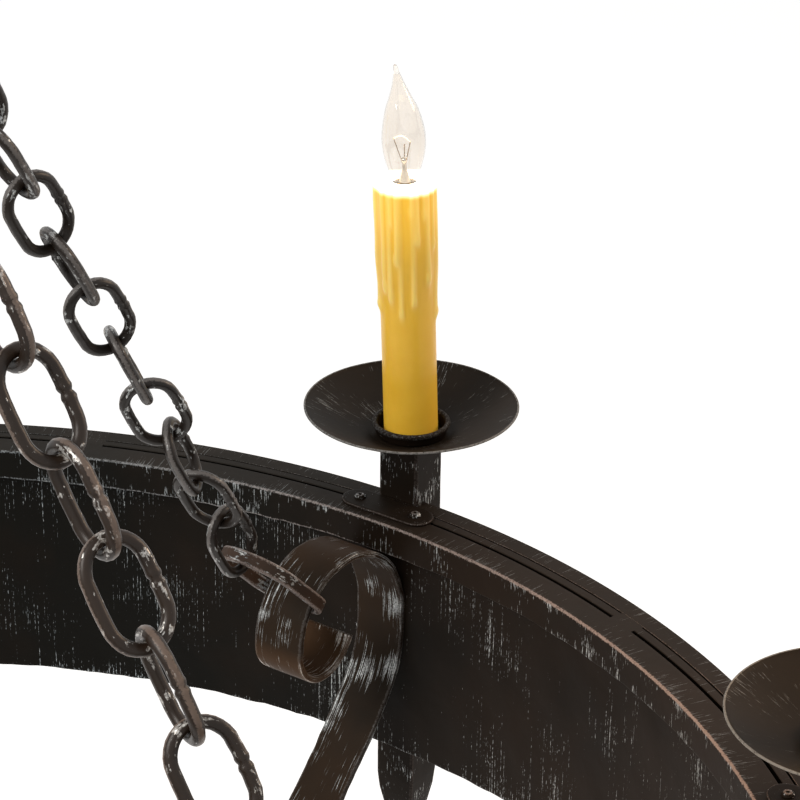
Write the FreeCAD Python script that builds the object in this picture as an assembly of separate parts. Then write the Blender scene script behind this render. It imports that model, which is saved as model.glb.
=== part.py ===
import FreeCAD, Part
import os
from math import asin, atan2, cos, degrees, exp, pi, radians, sin, sqrt

# Wagon wheel chandelier: an iron rim with eight candles hangs on four chains from a ceiling canopy.
# Millimetres, +Z up.  The origin is on the ceiling, on the axis of the wheel.
# Four strap scrolls lie along +X, +Y, -X and -Y; candles stand every 45 degrees from +X.
# Sizes called heights or depths in the wheel are counted from the top of the rim plate.

V = FreeCAD.Vector
AXIS = V(0, 0, 1)

# how many flats stand for a round, so that the many repeated pieces stay light
rim_sides = 60
pan_sides = 18
round_sides = 10
lamp_sides = 8
pin_sides = 6
canopy_sides = 20
wire_sides = 5
eye_bar_sides = 6
eye_path_sides = 8
link_end_steps = 3
ring_end_steps = 5

# rim: a rolled angle with its leg down inside, and one deep plain band under it
rim_outer_radius = 610.0
rim_plate_width = 44.5
rim_plate_thickness = 4.8
rim_leg_depth = 22.7
band_inner_radius = 580.5
band_thickness = 5.0
band_depth = 190.5

# candle posts
candle_count = 8
candle_radius = 612.8
post_side = 31.75
post_wall = 3.2
post_height = 48.0
post_tail_start = 230.0
post_tail_end = 298.0
post_clearance = 0.3
foot_length = 73.0
foot_width = 23.8
foot_thickness = 2.5
foot_screw_spacing = 47.0
foot_screw_head_radius = 4.2
foot_screw_head_height = 2.4

# drip pan, cup, sleeve, socket and bulb of one candle
pan_radius = 75.2
pan_rim_height = 71.8
pan_flat_radius = 27.0
pan_thickness = 1.4
cup_radius = 27.5
cup_flare = 3.0
cup_wall = 2.2
cup_height = 10.0
stem_radius = 4.8
stem_hole_radius = 5.2
stem_below_post = 16.0
sleeve_radius = 19.0
sleeve_wax_radius = 21.4
sleeve_wax_bottom = 160.0
sleeve_wax_step = 6.0
sleeve_bore_radius = 14.5
sleeve_top = 238.0
socket_radius = 11.5
socket_bottom = 186.0
socket_top = 234.0
socket_bore_radius = 6.7
socket_bore_depth = 20.0
bulb_base_radius = 6.1
bulb_base_bottom = 216.0
bulb_glass_bottom = 235.0
bulb_belly_radius = 15.0
bulb_belly_height = 264.0
bulb_tip_height = 319.0
bulb_tip_bend = 4.6
bulb_bend_angle = 124.8
bulb_bend_step = 137.5

# strap scrolls: centre line radii of the curves, from the hub to the inner end of the roll
strap_width = 39.0
strap_thickness = 4.8
strap_band_gap = 0.1
strap_sweep_radius = 550.0
strap_sweep_angle = 50.0
strap_elbow_radius = 80.0
strap_elbow_height = -85.0
roll_start_height = -72.0
roll_radii = (69.6, 49.6, 29.0, 31.0)
roll_angles = (90.0, 90.0, 90.0, 66.0)
strap_inner_end = 20.4
strap_bolt_radius = 36.0

# oval rings through the rolls
ring_length = 91.0
ring_end_radius = 25.5
ring_bar_thickness = 4.8
ring_bar_height = 9.5
ring_angle = 135.0
ring_play = 0.9
ring_seat = 3.8

# chain of oval links
links_per_chain = 16
wire_apothem = 3.2
link_inner_length = 47.1
link_inner_width = 22.2
link_play = 0.3
chain_twist = -90.0
chain_twist_links = 4.5

# spreader plate, eye bolt, swing link and canopy loop
web_radius = 44.5
web_rise = 9.2
spreader_radius = 53.0
spreader_thickness = 6.0
spreader_hole_radius = 8.0
spreader_hole_inset = 16.4
eye_path_radius = 16.0
eye_bar_apothem = 4.0
eye_play = 0.2
eye_shank_radius = 5.0
eye_hole_radius = 5.5
eye_collar_radius = 11.0
eye_collar_height = 8.0
eye_shank_length = 22.0
eye_nut_height = 8.0
eye_nut_radius = 9.8
loop_bar_height = -104.0
barrel_radius = 12.5
barrel_top = -36.0
collar_radius = 17.0
collar_height = 10.0

# canopy and ceiling bar
canopy_radius = 70.0
canopy_depth = 44.0
canopy_wall = 1.5
canopy_hole_radius = 13.6
bar_length = 112.0
bar_width = 22.0
bar_thickness = 3.0
box_screw_spacing = 88.9
box_screw_hole_radius = 2.4
nipple_radius = 4.8
nipple_hole_radius = 5.2
nipple_top = 9.0
lock_nut_radius = 8.8
lock_nut_height = 3.5

# hub
hub_plate_side = 96.0
hub_plate_corner = 14.0
hub_plate_thickness = 6.0
hub_bolt_radius = 4.0
hub_bolt_hole_radius = 4.4
hub_bolt_head_radius = 8.5
hub_bolt_head_height = 4.5
hub_nut_radius = 8.0
hub_nut_height = 6.5
hub_cap_radius = 26.0
hub_cap_height = 7.0
finial_radius = 24.0
finial_neck_height = 12.0
finial_neck_radius = 9.0
finial_rod_radius = 5.0
finial_rod_hole_radius = 5.4
finial_nut_height = 6.0


# ---------------------------------------------------------------- small helpers

def face_of(points):
    return Part.Face(Part.makePolygon(points + [points[0]]))


def skin(rings, closed=False):
    """Solid with flat faces between rings that have the same number of corners.

    A closed skin joins its last ring to its first, and an open one has a face at each end.
    """
    count = len(rings)
    sides = len(rings[0])
    faces = []
    for k in range(count if closed else count - 1):
        this, following = rings[k], rings[(k + 1) % count]
        for j in range(sides):
            i = (j + 1) % sides
            faces.append(face_of([this[j], this[i], following[i], following[j]]))
    if not closed:
        faces += [face_of(rings[0]), face_of(rings[-1])]
    solid = Part.Solid(Part.Shell(faces))
    if solid.Volume < 0:
        solid.reverse()
    return solid.removeSplitter()


def polygon(sides, radius, height, x=0.0, y=0.0):
    """Corners of a level regular polygon: its radius is taken to the flats, and one faces +X."""
    corner = radius / cos(pi / sides)
    angles = [2 * pi * (k + 0.5) / sides for k in range(sides)]
    return [V(x + corner * cos(angle), y + corner * sin(angle), height) for angle in angles]


def spindle(profile, sides, x=0.0, y=0.0):
    """Many-sided turned solid from (radius, height) points, bottom to top."""
    return skin([polygon(sides, radius, height, x, y) for radius, height in profile])


def hoop(profile, sides):
    """Many-sided turned ring from the closed outline of its section."""
    return skin([polygon(sides, radius, height) for radius, height in profile], closed=True)


def prism(sides, radius, bottom, top, x=0.0, y=0.0):
    return spindle([(radius, bottom), (radius, top)], sides, x, y)


def box(x0, x1, y0, y1, z0, z1):
    return Part.makeBox(x1 - x0, y1 - y0, z1 - z0, V(x0, y0, z0))


def spun(shape, angle):
    copy = shape.copy()
    copy.rotate(V(0, 0, 0), AXIS, angle)
    return copy


def raised(shape, height):
    copy = shape.copy()
    copy.translate(V(0, 0, height))
    return copy


def around(shape, count):
    return [spun(shape, 360.0 / count * k) for k in range(count)]


def export(name, shapes):
    shape = Part.makeCompound(shapes) if isinstance(shapes, list) else shapes
    shape.exportStep("parts/" + name + ".step")


def bar_section(sides, apothem):
    """Regular section of a bar, with a flat towards the first axis."""
    radius = apothem / cos(pi / sides)
    return [
        (radius * cos(2 * pi * (k + 0.5) / sides), radius * sin(2 * pi * (k + 0.5) / sides))
        for k in range(sides)
    ]


def oval_path(length, end_radius, steps):
    """Corners of a long oval; an odd number of steps puts a flat across each end."""
    reach = end_radius * cos(pi / (2 * steps))
    path = []
    for side in (1, -1):
        for k in range(steps + 1):
            angle = pi * k / steps
            along = length / 2 - reach + end_radius * sin(angle)
            path.append((side * along, side * end_radius * cos(angle)))
    return path


def round_path(radius, steps):
    """Corners of a circle, taken clockwise, whose flats are at the radius."""
    corner = radius / cos(pi / steps)
    return [
        (corner * sin(2 * pi * (k + 0.5) / steps), corner * cos(2 * pi * (k + 0.5) / steps))
        for k in range(steps)
    ]


def bar_loop(path, section, along, across, centre):
    """Closed loop of bar in the plane of two unit vectors, mitred at each corner.

    The path is clockwise, so the first axis of the section points into the loop.
    """
    normal = along.cross(across)
    rings = []
    for k in range(len(path)):
        before, here, after = path[k - 1], path[k], path[(k + 1) % len(path)]
        heading_in = atan2(here[1] - before[1], here[0] - before[0])
        heading_out = atan2(after[1] - here[1], after[0] - here[0])
        turn = (heading_out - heading_in + pi) % (2 * pi) - pi
        inward = heading_in + turn / 2 - pi / 2
        mitre = (along * cos(inward) + across * sin(inward)) * (1 / cos(turn / 2))
        corner = centre + along * here[0] + across * here[1]
        rings.append([corner + mitre * a + normal * b for a, b in section])
    return skin(rings, closed=True)


# ---------------------------------------------------------------- layout worked out from the sizes

bar_corner = eye_bar_apothem / cos(pi / eye_bar_sides)
link_pitch = link_inner_length - link_play

# the outside of the strap lies against the flat of the band
strap_x = band_inner_radius - strap_band_gap - strap_thickness / 2
roll_centre = (strap_x - roll_radii[0], roll_start_height + roll_radii[0] - roll_radii[1])
roll_wall_inside = roll_radii[1] - strap_thickness / 2

# the round end of the oval ring bears on the two edges of the strap
ring_inside = ring_end_radius - ring_bar_thickness / 2
ring_bite = ring_inside - sqrt(ring_inside ** 2 - (strap_width / 2) ** 2)
ring_start = sqrt(roll_wall_inside ** 2 - (ring_bar_height / 2) ** 2) - ring_bite - ring_play
ring_start -= ring_bar_thickness / 2
ring_direction = (cos(radians(ring_angle)), sin(radians(ring_angle)))
ring_foot = (roll_centre[0] + ring_start * ring_direction[0], roll_centre[1] + ring_start * ring_direction[1])
ring_head = (ring_foot[0] + ring_length * ring_direction[0], ring_foot[1] + ring_length * ring_direction[1])

# the chain runs straight from the head of the ring to the web of the spreader plate
first_link_rise = link_inner_length / 2 - ring_seat
last_link_drop = link_inner_length / 2 - web_rise
chain_run = first_link_rise + (links_per_chain - 1) * link_pitch + last_link_drop
chain_lean = asin((ring_head[0] - web_radius) / chain_run)
chain_height = chain_run * cos(chain_lean)

# heights from the ceiling down
link_top_bar = loop_bar_height + bar_corner + eye_play + wire_apothem
swing_link_centre = link_top_bar - link_inner_length / 2 - wire_apothem
link_low_bar = swing_link_centre - link_inner_length / 2 - wire_apothem
eye_top_bar = link_low_bar + wire_apothem + eye_play + bar_corner
eye_centre = eye_top_bar - eye_path_radius
spreader_top = eye_centre - eye_path_radius - eye_collar_height
spreader_middle = spreader_top - spreader_thickness / 2
rim_top = spreader_middle - chain_height - ring_head[1]

hub_height = strap_elbow_height - strap_elbow_radius * sin(radians(90 - strap_sweep_angle))
hub_height += strap_sweep_radius * sin(radians(90 - strap_sweep_angle)) - strap_sweep_radius
hub_top = hub_height + strap_thickness / 2
hub_bottom = hub_height - strap_thickness / 2


# ---------------------------------------------------------------- rim

def rim_angle():
    """Rolled angle: a flat plate on top with one leg down inside the wheel."""
    inner = rim_outer_radius - rim_plate_width
    t = rim_plate_thickness
    ring = hoop([
        (inner, 0), (inner, -rim_leg_depth), (inner + t, -rim_leg_depth), (inner + t, -t),
        (rim_outer_radius, -t), (rim_outer_radius, 0),
    ], rim_sides)
    half = post_side / 2 + post_clearance
    notch = box(candle_radius - half, rim_outer_radius + 5, -half, half, -t - 1, 1)
    return ring.cut(Part.makeCompound(around(notch, candle_count)))


def rim_band():
    outer = band_inner_radius + band_thickness
    top = -rim_plate_thickness
    return hoop([
        (band_inner_radius, -band_depth), (outer, -band_depth), (outer, top), (band_inner_radius, top),
    ], rim_sides)


# ---------------------------------------------------------------- candles

def post_square(side, height):
    """Corners of a square level section of the post."""
    x0, x1 = candle_radius - side / 2, candle_radius + side / 2
    y = side / 2
    return [V(x0, -y, height), V(x1, -y, height), V(x1, y, height), V(x0, y, height)]


def candle_post():
    """Square tube with a forged point below the band and a screwed foot on the rim plate."""
    drop = post_tail_end - post_tail_start
    shares = ((1.0, 0.1), (0.8, 0.34), (0.5, 0.68), (0.2, 0.92), (0.0, 1.0))
    rings = [post_square(post_side * width, -post_tail_start - drop * share) for share, width in shares]
    rings.append(post_square(post_side, post_height))
    bore_side = post_side - 2 * post_wall
    bore = skin([post_square(bore_side, -post_tail_start), post_square(bore_side, post_height - post_wall)])
    stem_hole = prism(pin_sides, stem_hole_radius, post_height - 2 * post_wall, post_height + 1, candle_radius)
    return skin(rings).cut(Part.makeCompound([bore, stem_hole])).fuse(foot_plate()).removeSplitter()


def foot_plate():
    centre_x = candle_radius - post_side / 2 - foot_width / 2
    path = oval_path(foot_length, foot_width / 2, 5)
    corners = [V(centre_x + across, along, 0) for along, across in path]
    return face_of(corners).extrude(V(0, 0, foot_thickness))


def foot_screws():
    """Pair of low screw heads on one foot."""
    x = candle_radius - post_side / 2 - foot_width / 2
    top = foot_thickness + foot_screw_head_height
    return [
        prism(pin_sides, foot_screw_head_radius, foot_thickness, top, x, side * foot_screw_spacing / 2)
        for side in (-1, 1)
    ]


def drip_pan():
    """Shallow cone with a flat middle that sits on the post."""
    low = post_height
    high = pan_rim_height
    t = pan_thickness
    outline = [(pan_flat_radius, low), (pan_radius, high - t), (pan_radius, high), (pan_flat_radius, low + t)]
    bowl = spindle(outline, pan_sides)
    return bowl.cut(prism(pin_sides, stem_hole_radius, low - 1, low + t + 1))


def candle_cup():
    """Flared ring round the foot of the candle."""
    low = post_height + pan_thickness
    foot = cup_radius - cup_flare
    return hoop([
        (foot, low), (cup_radius, low + cup_height), (cup_radius - cup_wall, low + cup_height),
        (foot - cup_wall, low),
    ], round_sides)


def candle_sleeve():
    """Candle tube, thicker at the top where the wax has run."""
    low = post_height + pan_thickness
    return hoop([
        (sleeve_bore_radius, low), (sleeve_radius, low), (sleeve_radius, sleeve_wax_bottom),
        (sleeve_wax_radius, sleeve_wax_bottom + sleeve_wax_step), (sleeve_wax_radius, sleeve_top),
        (sleeve_bore_radius, sleeve_top),
    ], round_sides)


def candle_stem():
    return prism(pin_sides, stem_radius, post_height - stem_below_post, socket_bottom)


def lamp_socket():
    bore_bottom = socket_top - socket_bore_depth
    body = prism(lamp_sides, socket_radius, socket_bottom, socket_top)
    return body.cut(prism(lamp_sides, socket_bore_radius, bore_bottom, socket_top + 1))


def bulb(bend_angle):
    """Flame lamp: screw base and a pear of glass drawn out to a bent tip."""
    belly = bulb_belly_radius
    heights = bulb_tip_height - bulb_belly_height
    shape = ((0.0, 1.0), (0.25, 0.9), (0.5, 0.6), (0.75, 0.3), (1.0, 0.06))
    rings = [
        polygon(lamp_sides, bulb_base_radius, bulb_base_bottom),
        polygon(lamp_sides, bulb_base_radius, bulb_glass_bottom),
        polygon(lamp_sides, 0.72 * belly, (bulb_glass_bottom + bulb_belly_height) / 2 - 4),
    ]
    for share, width in shape:
        bend = bulb_tip_bend * share ** 2
        x, y = bend * cos(radians(bend_angle)), bend * sin(radians(bend_angle))
        rings.append(polygon(lamp_sides, belly * width, bulb_belly_height + heights * share, x, y))
    return skin(rings)


def at_candle(shape, k):
    """Moves a shape built on the Z axis to candle k."""
    copy = shape.copy()
    copy.translate(V(candle_radius, 0, rim_top))
    return spun(copy, 360.0 / candle_count * k)


# ---------------------------------------------------------------- strap scrolls and rings

def strap_line():
    """Middle line of the strap from the hub to the inner end of the roll.

    Every curve is an arc tangent to the one before it, taken in short even steps.
    """
    place = V(strap_x - strap_elbow_radius, 0, hub_height)
    place.x += (strap_elbow_radius - strap_sweep_radius) * sin(radians(strap_sweep_angle))
    curves = [(strap_sweep_radius, strap_sweep_angle, 8), (strap_elbow_radius, 90 - strap_sweep_angle, 3)]
    curves += [(radius, angle, 6) for radius, angle in zip(roll_radii, roll_angles)]
    points = [V(strap_inner_end, 0, hub_height), place]
    heading = 0.0
    for number, (radius, angle, steps) in enumerate(curves):
        step = radians(angle / steps)
        for k in range(steps):
            way = radians(heading) + step * (k + 0.5)
            place = place + V(cos(way), 0, sin(way)) * (2 * radius * sin(step / 2))
            points.append(place)
        heading += angle
        if number == 1:
            place = place + V(0, 0, roll_start_height - strap_elbow_height)
            points.append(place)
    return points


def strap_scroll():
    """Flat strap that leaves the hub, sweeps up to the band and rolls inwards."""
    points = strap_line()
    ways = [(there - here).normalize() for here, there in zip(points, points[1:])]
    side = V(0, strap_width / 2, 0)
    sections = []
    for place, before, after in zip(points, ways[:1] + ways, ways + ways[-1:]):
        middle = (before + after).normalize()
        left = V(-middle.z, 0, middle.x) * (strap_thickness / 2 / middle.dot(after))
        sections.append([place - left - side, place + left - side, place + left + side, place - left + side])
    hole = prism(pin_sides, hub_bolt_hole_radius, hub_bottom - 1, hub_top + 1, strap_bolt_radius)
    return skin(sections).cut(hole)


def oval_ring():
    """Ring of flat bar on edge, threaded through the eye of the roll."""
    along = V(ring_direction[0], 0, ring_direction[1])
    centre = V((ring_foot[0] + ring_head[0]) / 2, 0, (ring_foot[1] + ring_head[1]) / 2)
    path = oval_path(ring_length, ring_end_radius, ring_end_steps)
    a, b = ring_bar_thickness / 2, ring_bar_height / 2
    return bar_loop(path, [(-a, -b), (a, -b), (a, b), (-a, b)], along, V(0, 1, 0), centre)


# ---------------------------------------------------------------- chains

def chain_link(along, across, centre):
    end_radius = link_inner_width / 2 + wire_apothem
    path = oval_path(link_inner_length + 2 * wire_apothem, end_radius, link_end_steps)
    return bar_loop(path, bar_section(wire_sides, wire_apothem), along, across, centre)


def twist_of(k):
    """Turn of link k about the chain: quick near the ring, then slow, and square at the spreader."""
    share = (1 - exp(-k / chain_twist_links)) / (1 - exp(-(links_per_chain - 1) / chain_twist_links))
    return radians(chain_twist * share + 90 * (k % 2))


def chain():
    up = V(-sin(chain_lean), 0, cos(chain_lean))
    out = V(cos(chain_lean), 0, sin(chain_lean))
    start = V(ring_head[0], 0, ring_head[1]) + up * first_link_rise
    links = []
    for k in range(links_per_chain):
        turn = twist_of(k)
        across = out * cos(turn) + V(0, -1, 0) * sin(turn)
        links.append(chain_link(up, across, start + up * (link_pitch * k)))
    return links


def spreader_plate():
    low = spreader_top - spreader_thickness
    plate = prism(pan_sides, spreader_radius, low, spreader_top)
    hole = prism(lamp_sides, spreader_hole_radius, low - 1, spreader_top + 1, web_radius - spreader_hole_inset)
    centre_hole = prism(lamp_sides, eye_hole_radius, low - 1, spreader_top + 1)
    return plate.cut(Part.makeCompound(around(hole, 4) + [centre_hole]))


def eye(centre_height):
    """Round eye in the XZ plane."""
    path = round_path(eye_path_radius, eye_path_sides)
    section = bar_section(eye_bar_sides, eye_bar_apothem)
    return bar_loop(path, section, V(1, 0, 0), V(0, 0, 1), V(0, 0, centre_height))


def eye_bolt():
    collar_top = eye_centre - eye_path_radius
    shank = prism(lamp_sides, eye_shank_radius, spreader_top - eye_shank_length, spreader_top)
    collar = prism(lamp_sides, eye_collar_radius, spreader_top, collar_top - 1)
    return shank.fuse([collar, eye(eye_centre)]).removeSplitter()


def eye_nut():
    top = spreader_top - spreader_thickness
    nut = prism(6, eye_nut_radius, top - eye_nut_height, top)
    return nut.cut(prism(lamp_sides, eye_hole_radius, top - eye_nut_height - 1, top + 1))


def swing_link():
    return chain_link(V(0, 0, 1), V(0, 1, 0), V(0, 0, swing_link_centre))


# ---------------------------------------------------------------- canopy

def canopy_loop():
    centre = loop_bar_height + eye_path_radius
    barrel = prism(round_sides, barrel_radius, centre + eye_path_radius + 1, barrel_top)
    return eye(centre).fuse(barrel).removeSplitter()


def nipple():
    return prism(pin_sides, nipple_radius, barrel_top, nipple_top)


def collar_nut():
    top = -canopy_depth
    bore = barrel_radius + 0.5
    low = top - collar_height
    return hoop([
        (bore, low), (collar_radius - 2, low), (collar_radius, low + 2), (collar_radius, top), (bore, top),
    ], round_sides)


def canopy():
    """Pressed dome, open at the ceiling, with a hole for the barrel of the loop."""
    t = canopy_wall
    r = canopy_radius
    d = canopy_depth
    return hoop([
        (r, 0), (r, -5), (r - 6, -9), (r - 16, -26), (r - 30, -d + 6), (r - 42, -d),
        (canopy_hole_radius, -d), (canopy_hole_radius, t - d), (r - 42.4, t - d),
        (r - 30.8, t - d + 6), (r - 17.4, t - 26), (r - 7.4, t - 9), (r - t, -4), (r - t, 0),
    ], canopy_sides)


def ceiling_bar():
    half = bar_length / 2
    bar = box(-half, half, -bar_width / 2, bar_width / 2, -bar_thickness, 0)
    cuts = [prism(pin_sides, nipple_hole_radius, -bar_thickness - 1, 1)]
    for side in (-1, 1):
        place = V(side * box_screw_spacing / 2, 0, -bar_thickness - 1)
        cuts.append(Part.makeCylinder(box_screw_hole_radius, bar_thickness + 2, place))
    return bar.cut(Part.makeCompound(cuts))


def lock_nuts():
    nuts = []
    for low in (0.0, -bar_thickness - lock_nut_height):
        nut = prism(6, lock_nut_radius, low, low + lock_nut_height)
        nuts.append(nut.cut(prism(pin_sides, nipple_hole_radius, low - 1, low + lock_nut_height + 1)))
    return nuts


# ---------------------------------------------------------------- hub

def hub_plate():
    h = hub_plate_side / 2
    c = h - hub_plate_corner
    corners = [(h, c), (c, h), (-c, h), (-h, c), (-h, -c), (-c, -h), (c, -h), (h, -c)]
    low = hub_bottom - hub_plate_thickness
    plate = face_of([V(x, y, low) for x, y in corners]).extrude(V(0, 0, hub_plate_thickness))
    hole = prism(pin_sides, hub_bolt_hole_radius, low - 1, hub_bottom + 1, strap_bolt_radius)
    centre_hole = prism(pin_sides, finial_rod_hole_radius, low - 1, hub_bottom + 1)
    return plate.cut(Part.makeCompound(around(hole, 4) + [centre_hole]))


def hub_bolt():
    low = hub_bottom - hub_plate_thickness
    x = strap_bolt_radius
    head = prism(lamp_sides, hub_bolt_head_radius, low - hub_bolt_head_height, low, x)
    shank = prism(pin_sides, hub_bolt_radius, low, hub_top + hub_nut_height + 2, x)
    return head.fuse(shank)


def hub_nut():
    nut = prism(6, hub_nut_radius, hub_top, hub_top + hub_nut_height, strap_bolt_radius)
    bore = prism(pin_sides, hub_bolt_hole_radius, hub_top - 1, hub_top + hub_nut_height + 1, strap_bolt_radius)
    return nut.cut(bore)


def hub_cap():
    r = hub_cap_radius
    high = hub_top + hub_cap_height
    cap = spindle([(r, hub_top), (r, hub_top + 2), (r * 0.7, high)], round_sides)
    return cap.cut(prism(pin_sides, finial_rod_hole_radius, hub_top - 1, high + 1))


def finial():
    """Turned ball drop with a threaded rod up through the hub."""
    top = hub_bottom - hub_plate_thickness
    r = finial_radius
    centre = top - finial_neck_height - r
    outline = [(3, centre - 1.35 * r), (4, centre - 1.1 * r)]
    for k in range(7):
        angle = radians(-66 + 22 * k)
        outline.append((r * cos(angle), centre + r * sin(angle)))
    outline += [(finial_neck_radius, top - 6), (finial_neck_radius + 6, top - 4), (finial_neck_radius + 6, top)]
    rod_top = hub_top + hub_cap_height + finial_nut_height + 2
    return spindle(outline, round_sides).fuse(prism(pin_sides, finial_rod_radius, top, rod_top))


def finial_nut():
    low = hub_top + hub_cap_height
    nut = prism(6, hub_nut_radius + 1, low, low + finial_nut_height)
    return nut.cut(prism(pin_sides, finial_rod_hole_radius, low - 1, low + finial_nut_height + 1))


# ---------------------------------------------------------------- build

def lowered(shapes):
    """Rim heights become heights below the ceiling."""
    return [raised(shape, rim_top) for shape in shapes]


def build_wheel():
    export("rim_angle", lowered([rim_angle()]))
    export("rim_band", lowered([rim_band()]))
    strap, ring, links = strap_scroll(), oval_ring(), chain()
    for k in range(4):
        export("strap_scroll_%d" % (k + 1), lowered([spun(strap, 90.0 * k)]))
        export("oval_ring_%d" % (k + 1), lowered([spun(ring, 90.0 * k)]))
        export("chain_%d" % (k + 1), lowered([spun(link, 90.0 * k) for link in links]))
    export("hub_plate", lowered([hub_plate()]))
    export("hub_bolts", lowered(around(hub_bolt(), 4)))
    export("hub_nuts", lowered(around(hub_nut(), 4)))
    export("hub_cap", lowered([hub_cap()]))
    export("finial", lowered([finial()]))
    export("finial_nut", lowered([finial_nut()]))


def build_candles():
    post = candle_post()
    screws = []
    for k in range(candle_count):
        angle = 360.0 / candle_count * k
        export("candle_post_%d" % (k + 1), lowered([spun(post, angle)]))
        export("bulb_%d" % (k + 1), at_candle(bulb(bulb_bend_angle + bulb_bend_step * k - angle), k))
        screws += [spun(screw, angle) for screw in foot_screws()]
    export("foot_screws", lowered(screws))
    groups = {
        "drip_pans": drip_pan(), "candle_cups": candle_cup(), "candle_sleeves": candle_sleeve(),
        "candle_stems": candle_stem(), "lamp_sockets": lamp_socket(),
    }
    for name, piece in groups.items():
        export(name, [at_candle(piece, k) for k in range(candle_count)])


def build_hanger():
    export("spreader_plate", spreader_plate())
    export("eye_bolt", eye_bolt())
    export("eye_nut", eye_nut())
    export("swing_link", swing_link())
    export("canopy_loop", canopy_loop())
    export("collar_nut", collar_nut())
    export("nipple", nipple())
    export("canopy", canopy())
    export("ceiling_bar", ceiling_bar())
    export("lock_nuts", lock_nuts())


os.makedirs("parts", exist_ok=True)
build_wheel()
build_candles()
build_hanger()
print("rim top", rim_top, "hub", rim_top + hub_height, "chain lean", degrees(chain_lean))
print("link pivots", loop_bar_height, link_low_bar, "ring foot", ring_foot, "ring head", ring_head)
print("spreader top", spreader_top, "roll centre", roll_centre)
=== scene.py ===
from math import asin, atan2, cos, exp, pi, radians, sin, sqrt, tan

import bpy
import numpy as np
from mathutils import Matrix, Vector


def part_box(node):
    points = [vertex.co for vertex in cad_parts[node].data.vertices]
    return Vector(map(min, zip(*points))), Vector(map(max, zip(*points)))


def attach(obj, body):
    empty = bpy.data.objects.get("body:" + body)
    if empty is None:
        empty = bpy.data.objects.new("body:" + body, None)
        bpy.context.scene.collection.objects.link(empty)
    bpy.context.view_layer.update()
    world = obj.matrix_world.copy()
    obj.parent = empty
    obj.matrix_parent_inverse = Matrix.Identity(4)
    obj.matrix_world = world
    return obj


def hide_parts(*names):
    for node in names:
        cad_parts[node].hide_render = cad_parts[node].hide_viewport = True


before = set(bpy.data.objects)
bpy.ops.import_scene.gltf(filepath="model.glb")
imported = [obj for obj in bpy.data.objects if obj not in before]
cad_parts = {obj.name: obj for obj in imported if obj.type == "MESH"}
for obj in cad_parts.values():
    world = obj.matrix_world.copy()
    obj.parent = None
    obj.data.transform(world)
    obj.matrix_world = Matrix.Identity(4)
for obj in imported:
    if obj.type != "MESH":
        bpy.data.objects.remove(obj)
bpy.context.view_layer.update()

# Sizes are in millimetres and become metres only when a mesh is made.
# Heights of the wheel's pieces are counted from the top of the rim plate, and the hanger's from the ceiling.
MM = 0.001
RIM_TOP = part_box("rim_angle")[1].z / MM

# ---------------------------------------------------------------- sizes shared with the solids

rim_outer_radius = 610.0
rim_plate_width = 44.5
rim_plate_thickness = 4.8
rim_leg_depth = 22.7
band_inner_radius = 580.5
band_thickness = 5.0
band_depth = 190.5

candle_count = 8
candle_radius = 612.8
post_side = 31.75
post_height = 48.0
post_tail_start = 230.0
post_tail_end = 298.0
foot_length = 73.0
foot_width = 23.8
foot_thickness = 2.5
foot_screw_spacing = 47.0
foot_screw_radius = 4.2
foot_screw_height = 2.4

pan_radius = 75.2
pan_rim_height = 71.8
pan_flat_radius = 27.0
pan_thickness = 1.4
cup_radius = 27.5
cup_flare = 3.0
cup_wall = 2.2
cup_height = 10.0
sleeve_radius = 18.9
sleeve_wax_radius = 22.2
sleeve_bore_radius = 14.6
sleeve_top = 238.0
sleeve_mouth_radius = 8.5
sleeve_mouth_height = 235.6
socket_radius = 11.4
socket_bottom = 186.0
socket_top = 234.0
socket_bore_radius = 6.8
socket_bore_floor = 214.2
bulb_base_radius = 6.1
bulb_base_bottom = 216.0
bulb_belly_height = 264.0
bulb_tip_height = 319.0
bulb_tip_bend = 4.6
bulb_bend_angle = 124.8
bulb_bend_step = 137.5
glass_wall = 0.55
thread_pitch = 2.54
candle_leans = (2.0, 0.7, 0.4, 0.9, 0.5, 1.1, 0.6, 0.8)
sleeve_turn = 214.5
sleeve_turn_step = 37.0

strap_width = 39.0
strap_thickness = 4.8
strap_x = 578.0
strap_sweep_radius = 550.0
strap_sweep_angle = 50.0
strap_elbow_radius = 80.0
strap_elbow_height = -85.0
roll_start_height = -72.0
roll_radii = (69.6, 49.6, 29.0, 31.0)
roll_angles = (90.0, 90.0, 90.0, 66.0)
strap_inner_end = 20.4
strap_bolt_radius = 36.0
browned_length = 95.0
browned_full_length = 70.0

ring_length = 91.0
ring_end_radius = 25.5
ring_bar_thickness = 4.8
ring_bar_height = 9.5
ring_angle = 135.0
ring_play = 0.9
ring_seat = 3.8

links_per_chain = 16
link_wire_radius = 3.5
link_inner_length = 47.1
link_inner_width = 22.2
link_play = 0.3
link_bow = 1.0
chain_twist = -90.0
chain_twist_links = 4.5
wire_apothem = 3.2
web_radius = 44.5
web_rise = 9.2

spreader_radius = 53.0
spreader_thickness = 6.0
spreader_hole_radius = 8.0
spreader_hole_inset = 16.4
eye_radius = 16.0
eye_wire_radius = 4.0
eye_play = 0.2
eye_shank_radius = 5.0
eye_collar_radius = 11.0
eye_collar_height = 8.0
eye_shank_length = 22.0
loop_bar_height = -104.0
barrel_radius = 12.5
barrel_top = -36.0
collar_radius = 17.0
collar_height = 10.0
canopy_radius = 70.0
canopy_depth = 44.0
canopy_wall = 1.5
canopy_hole_radius = 13.6

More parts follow.
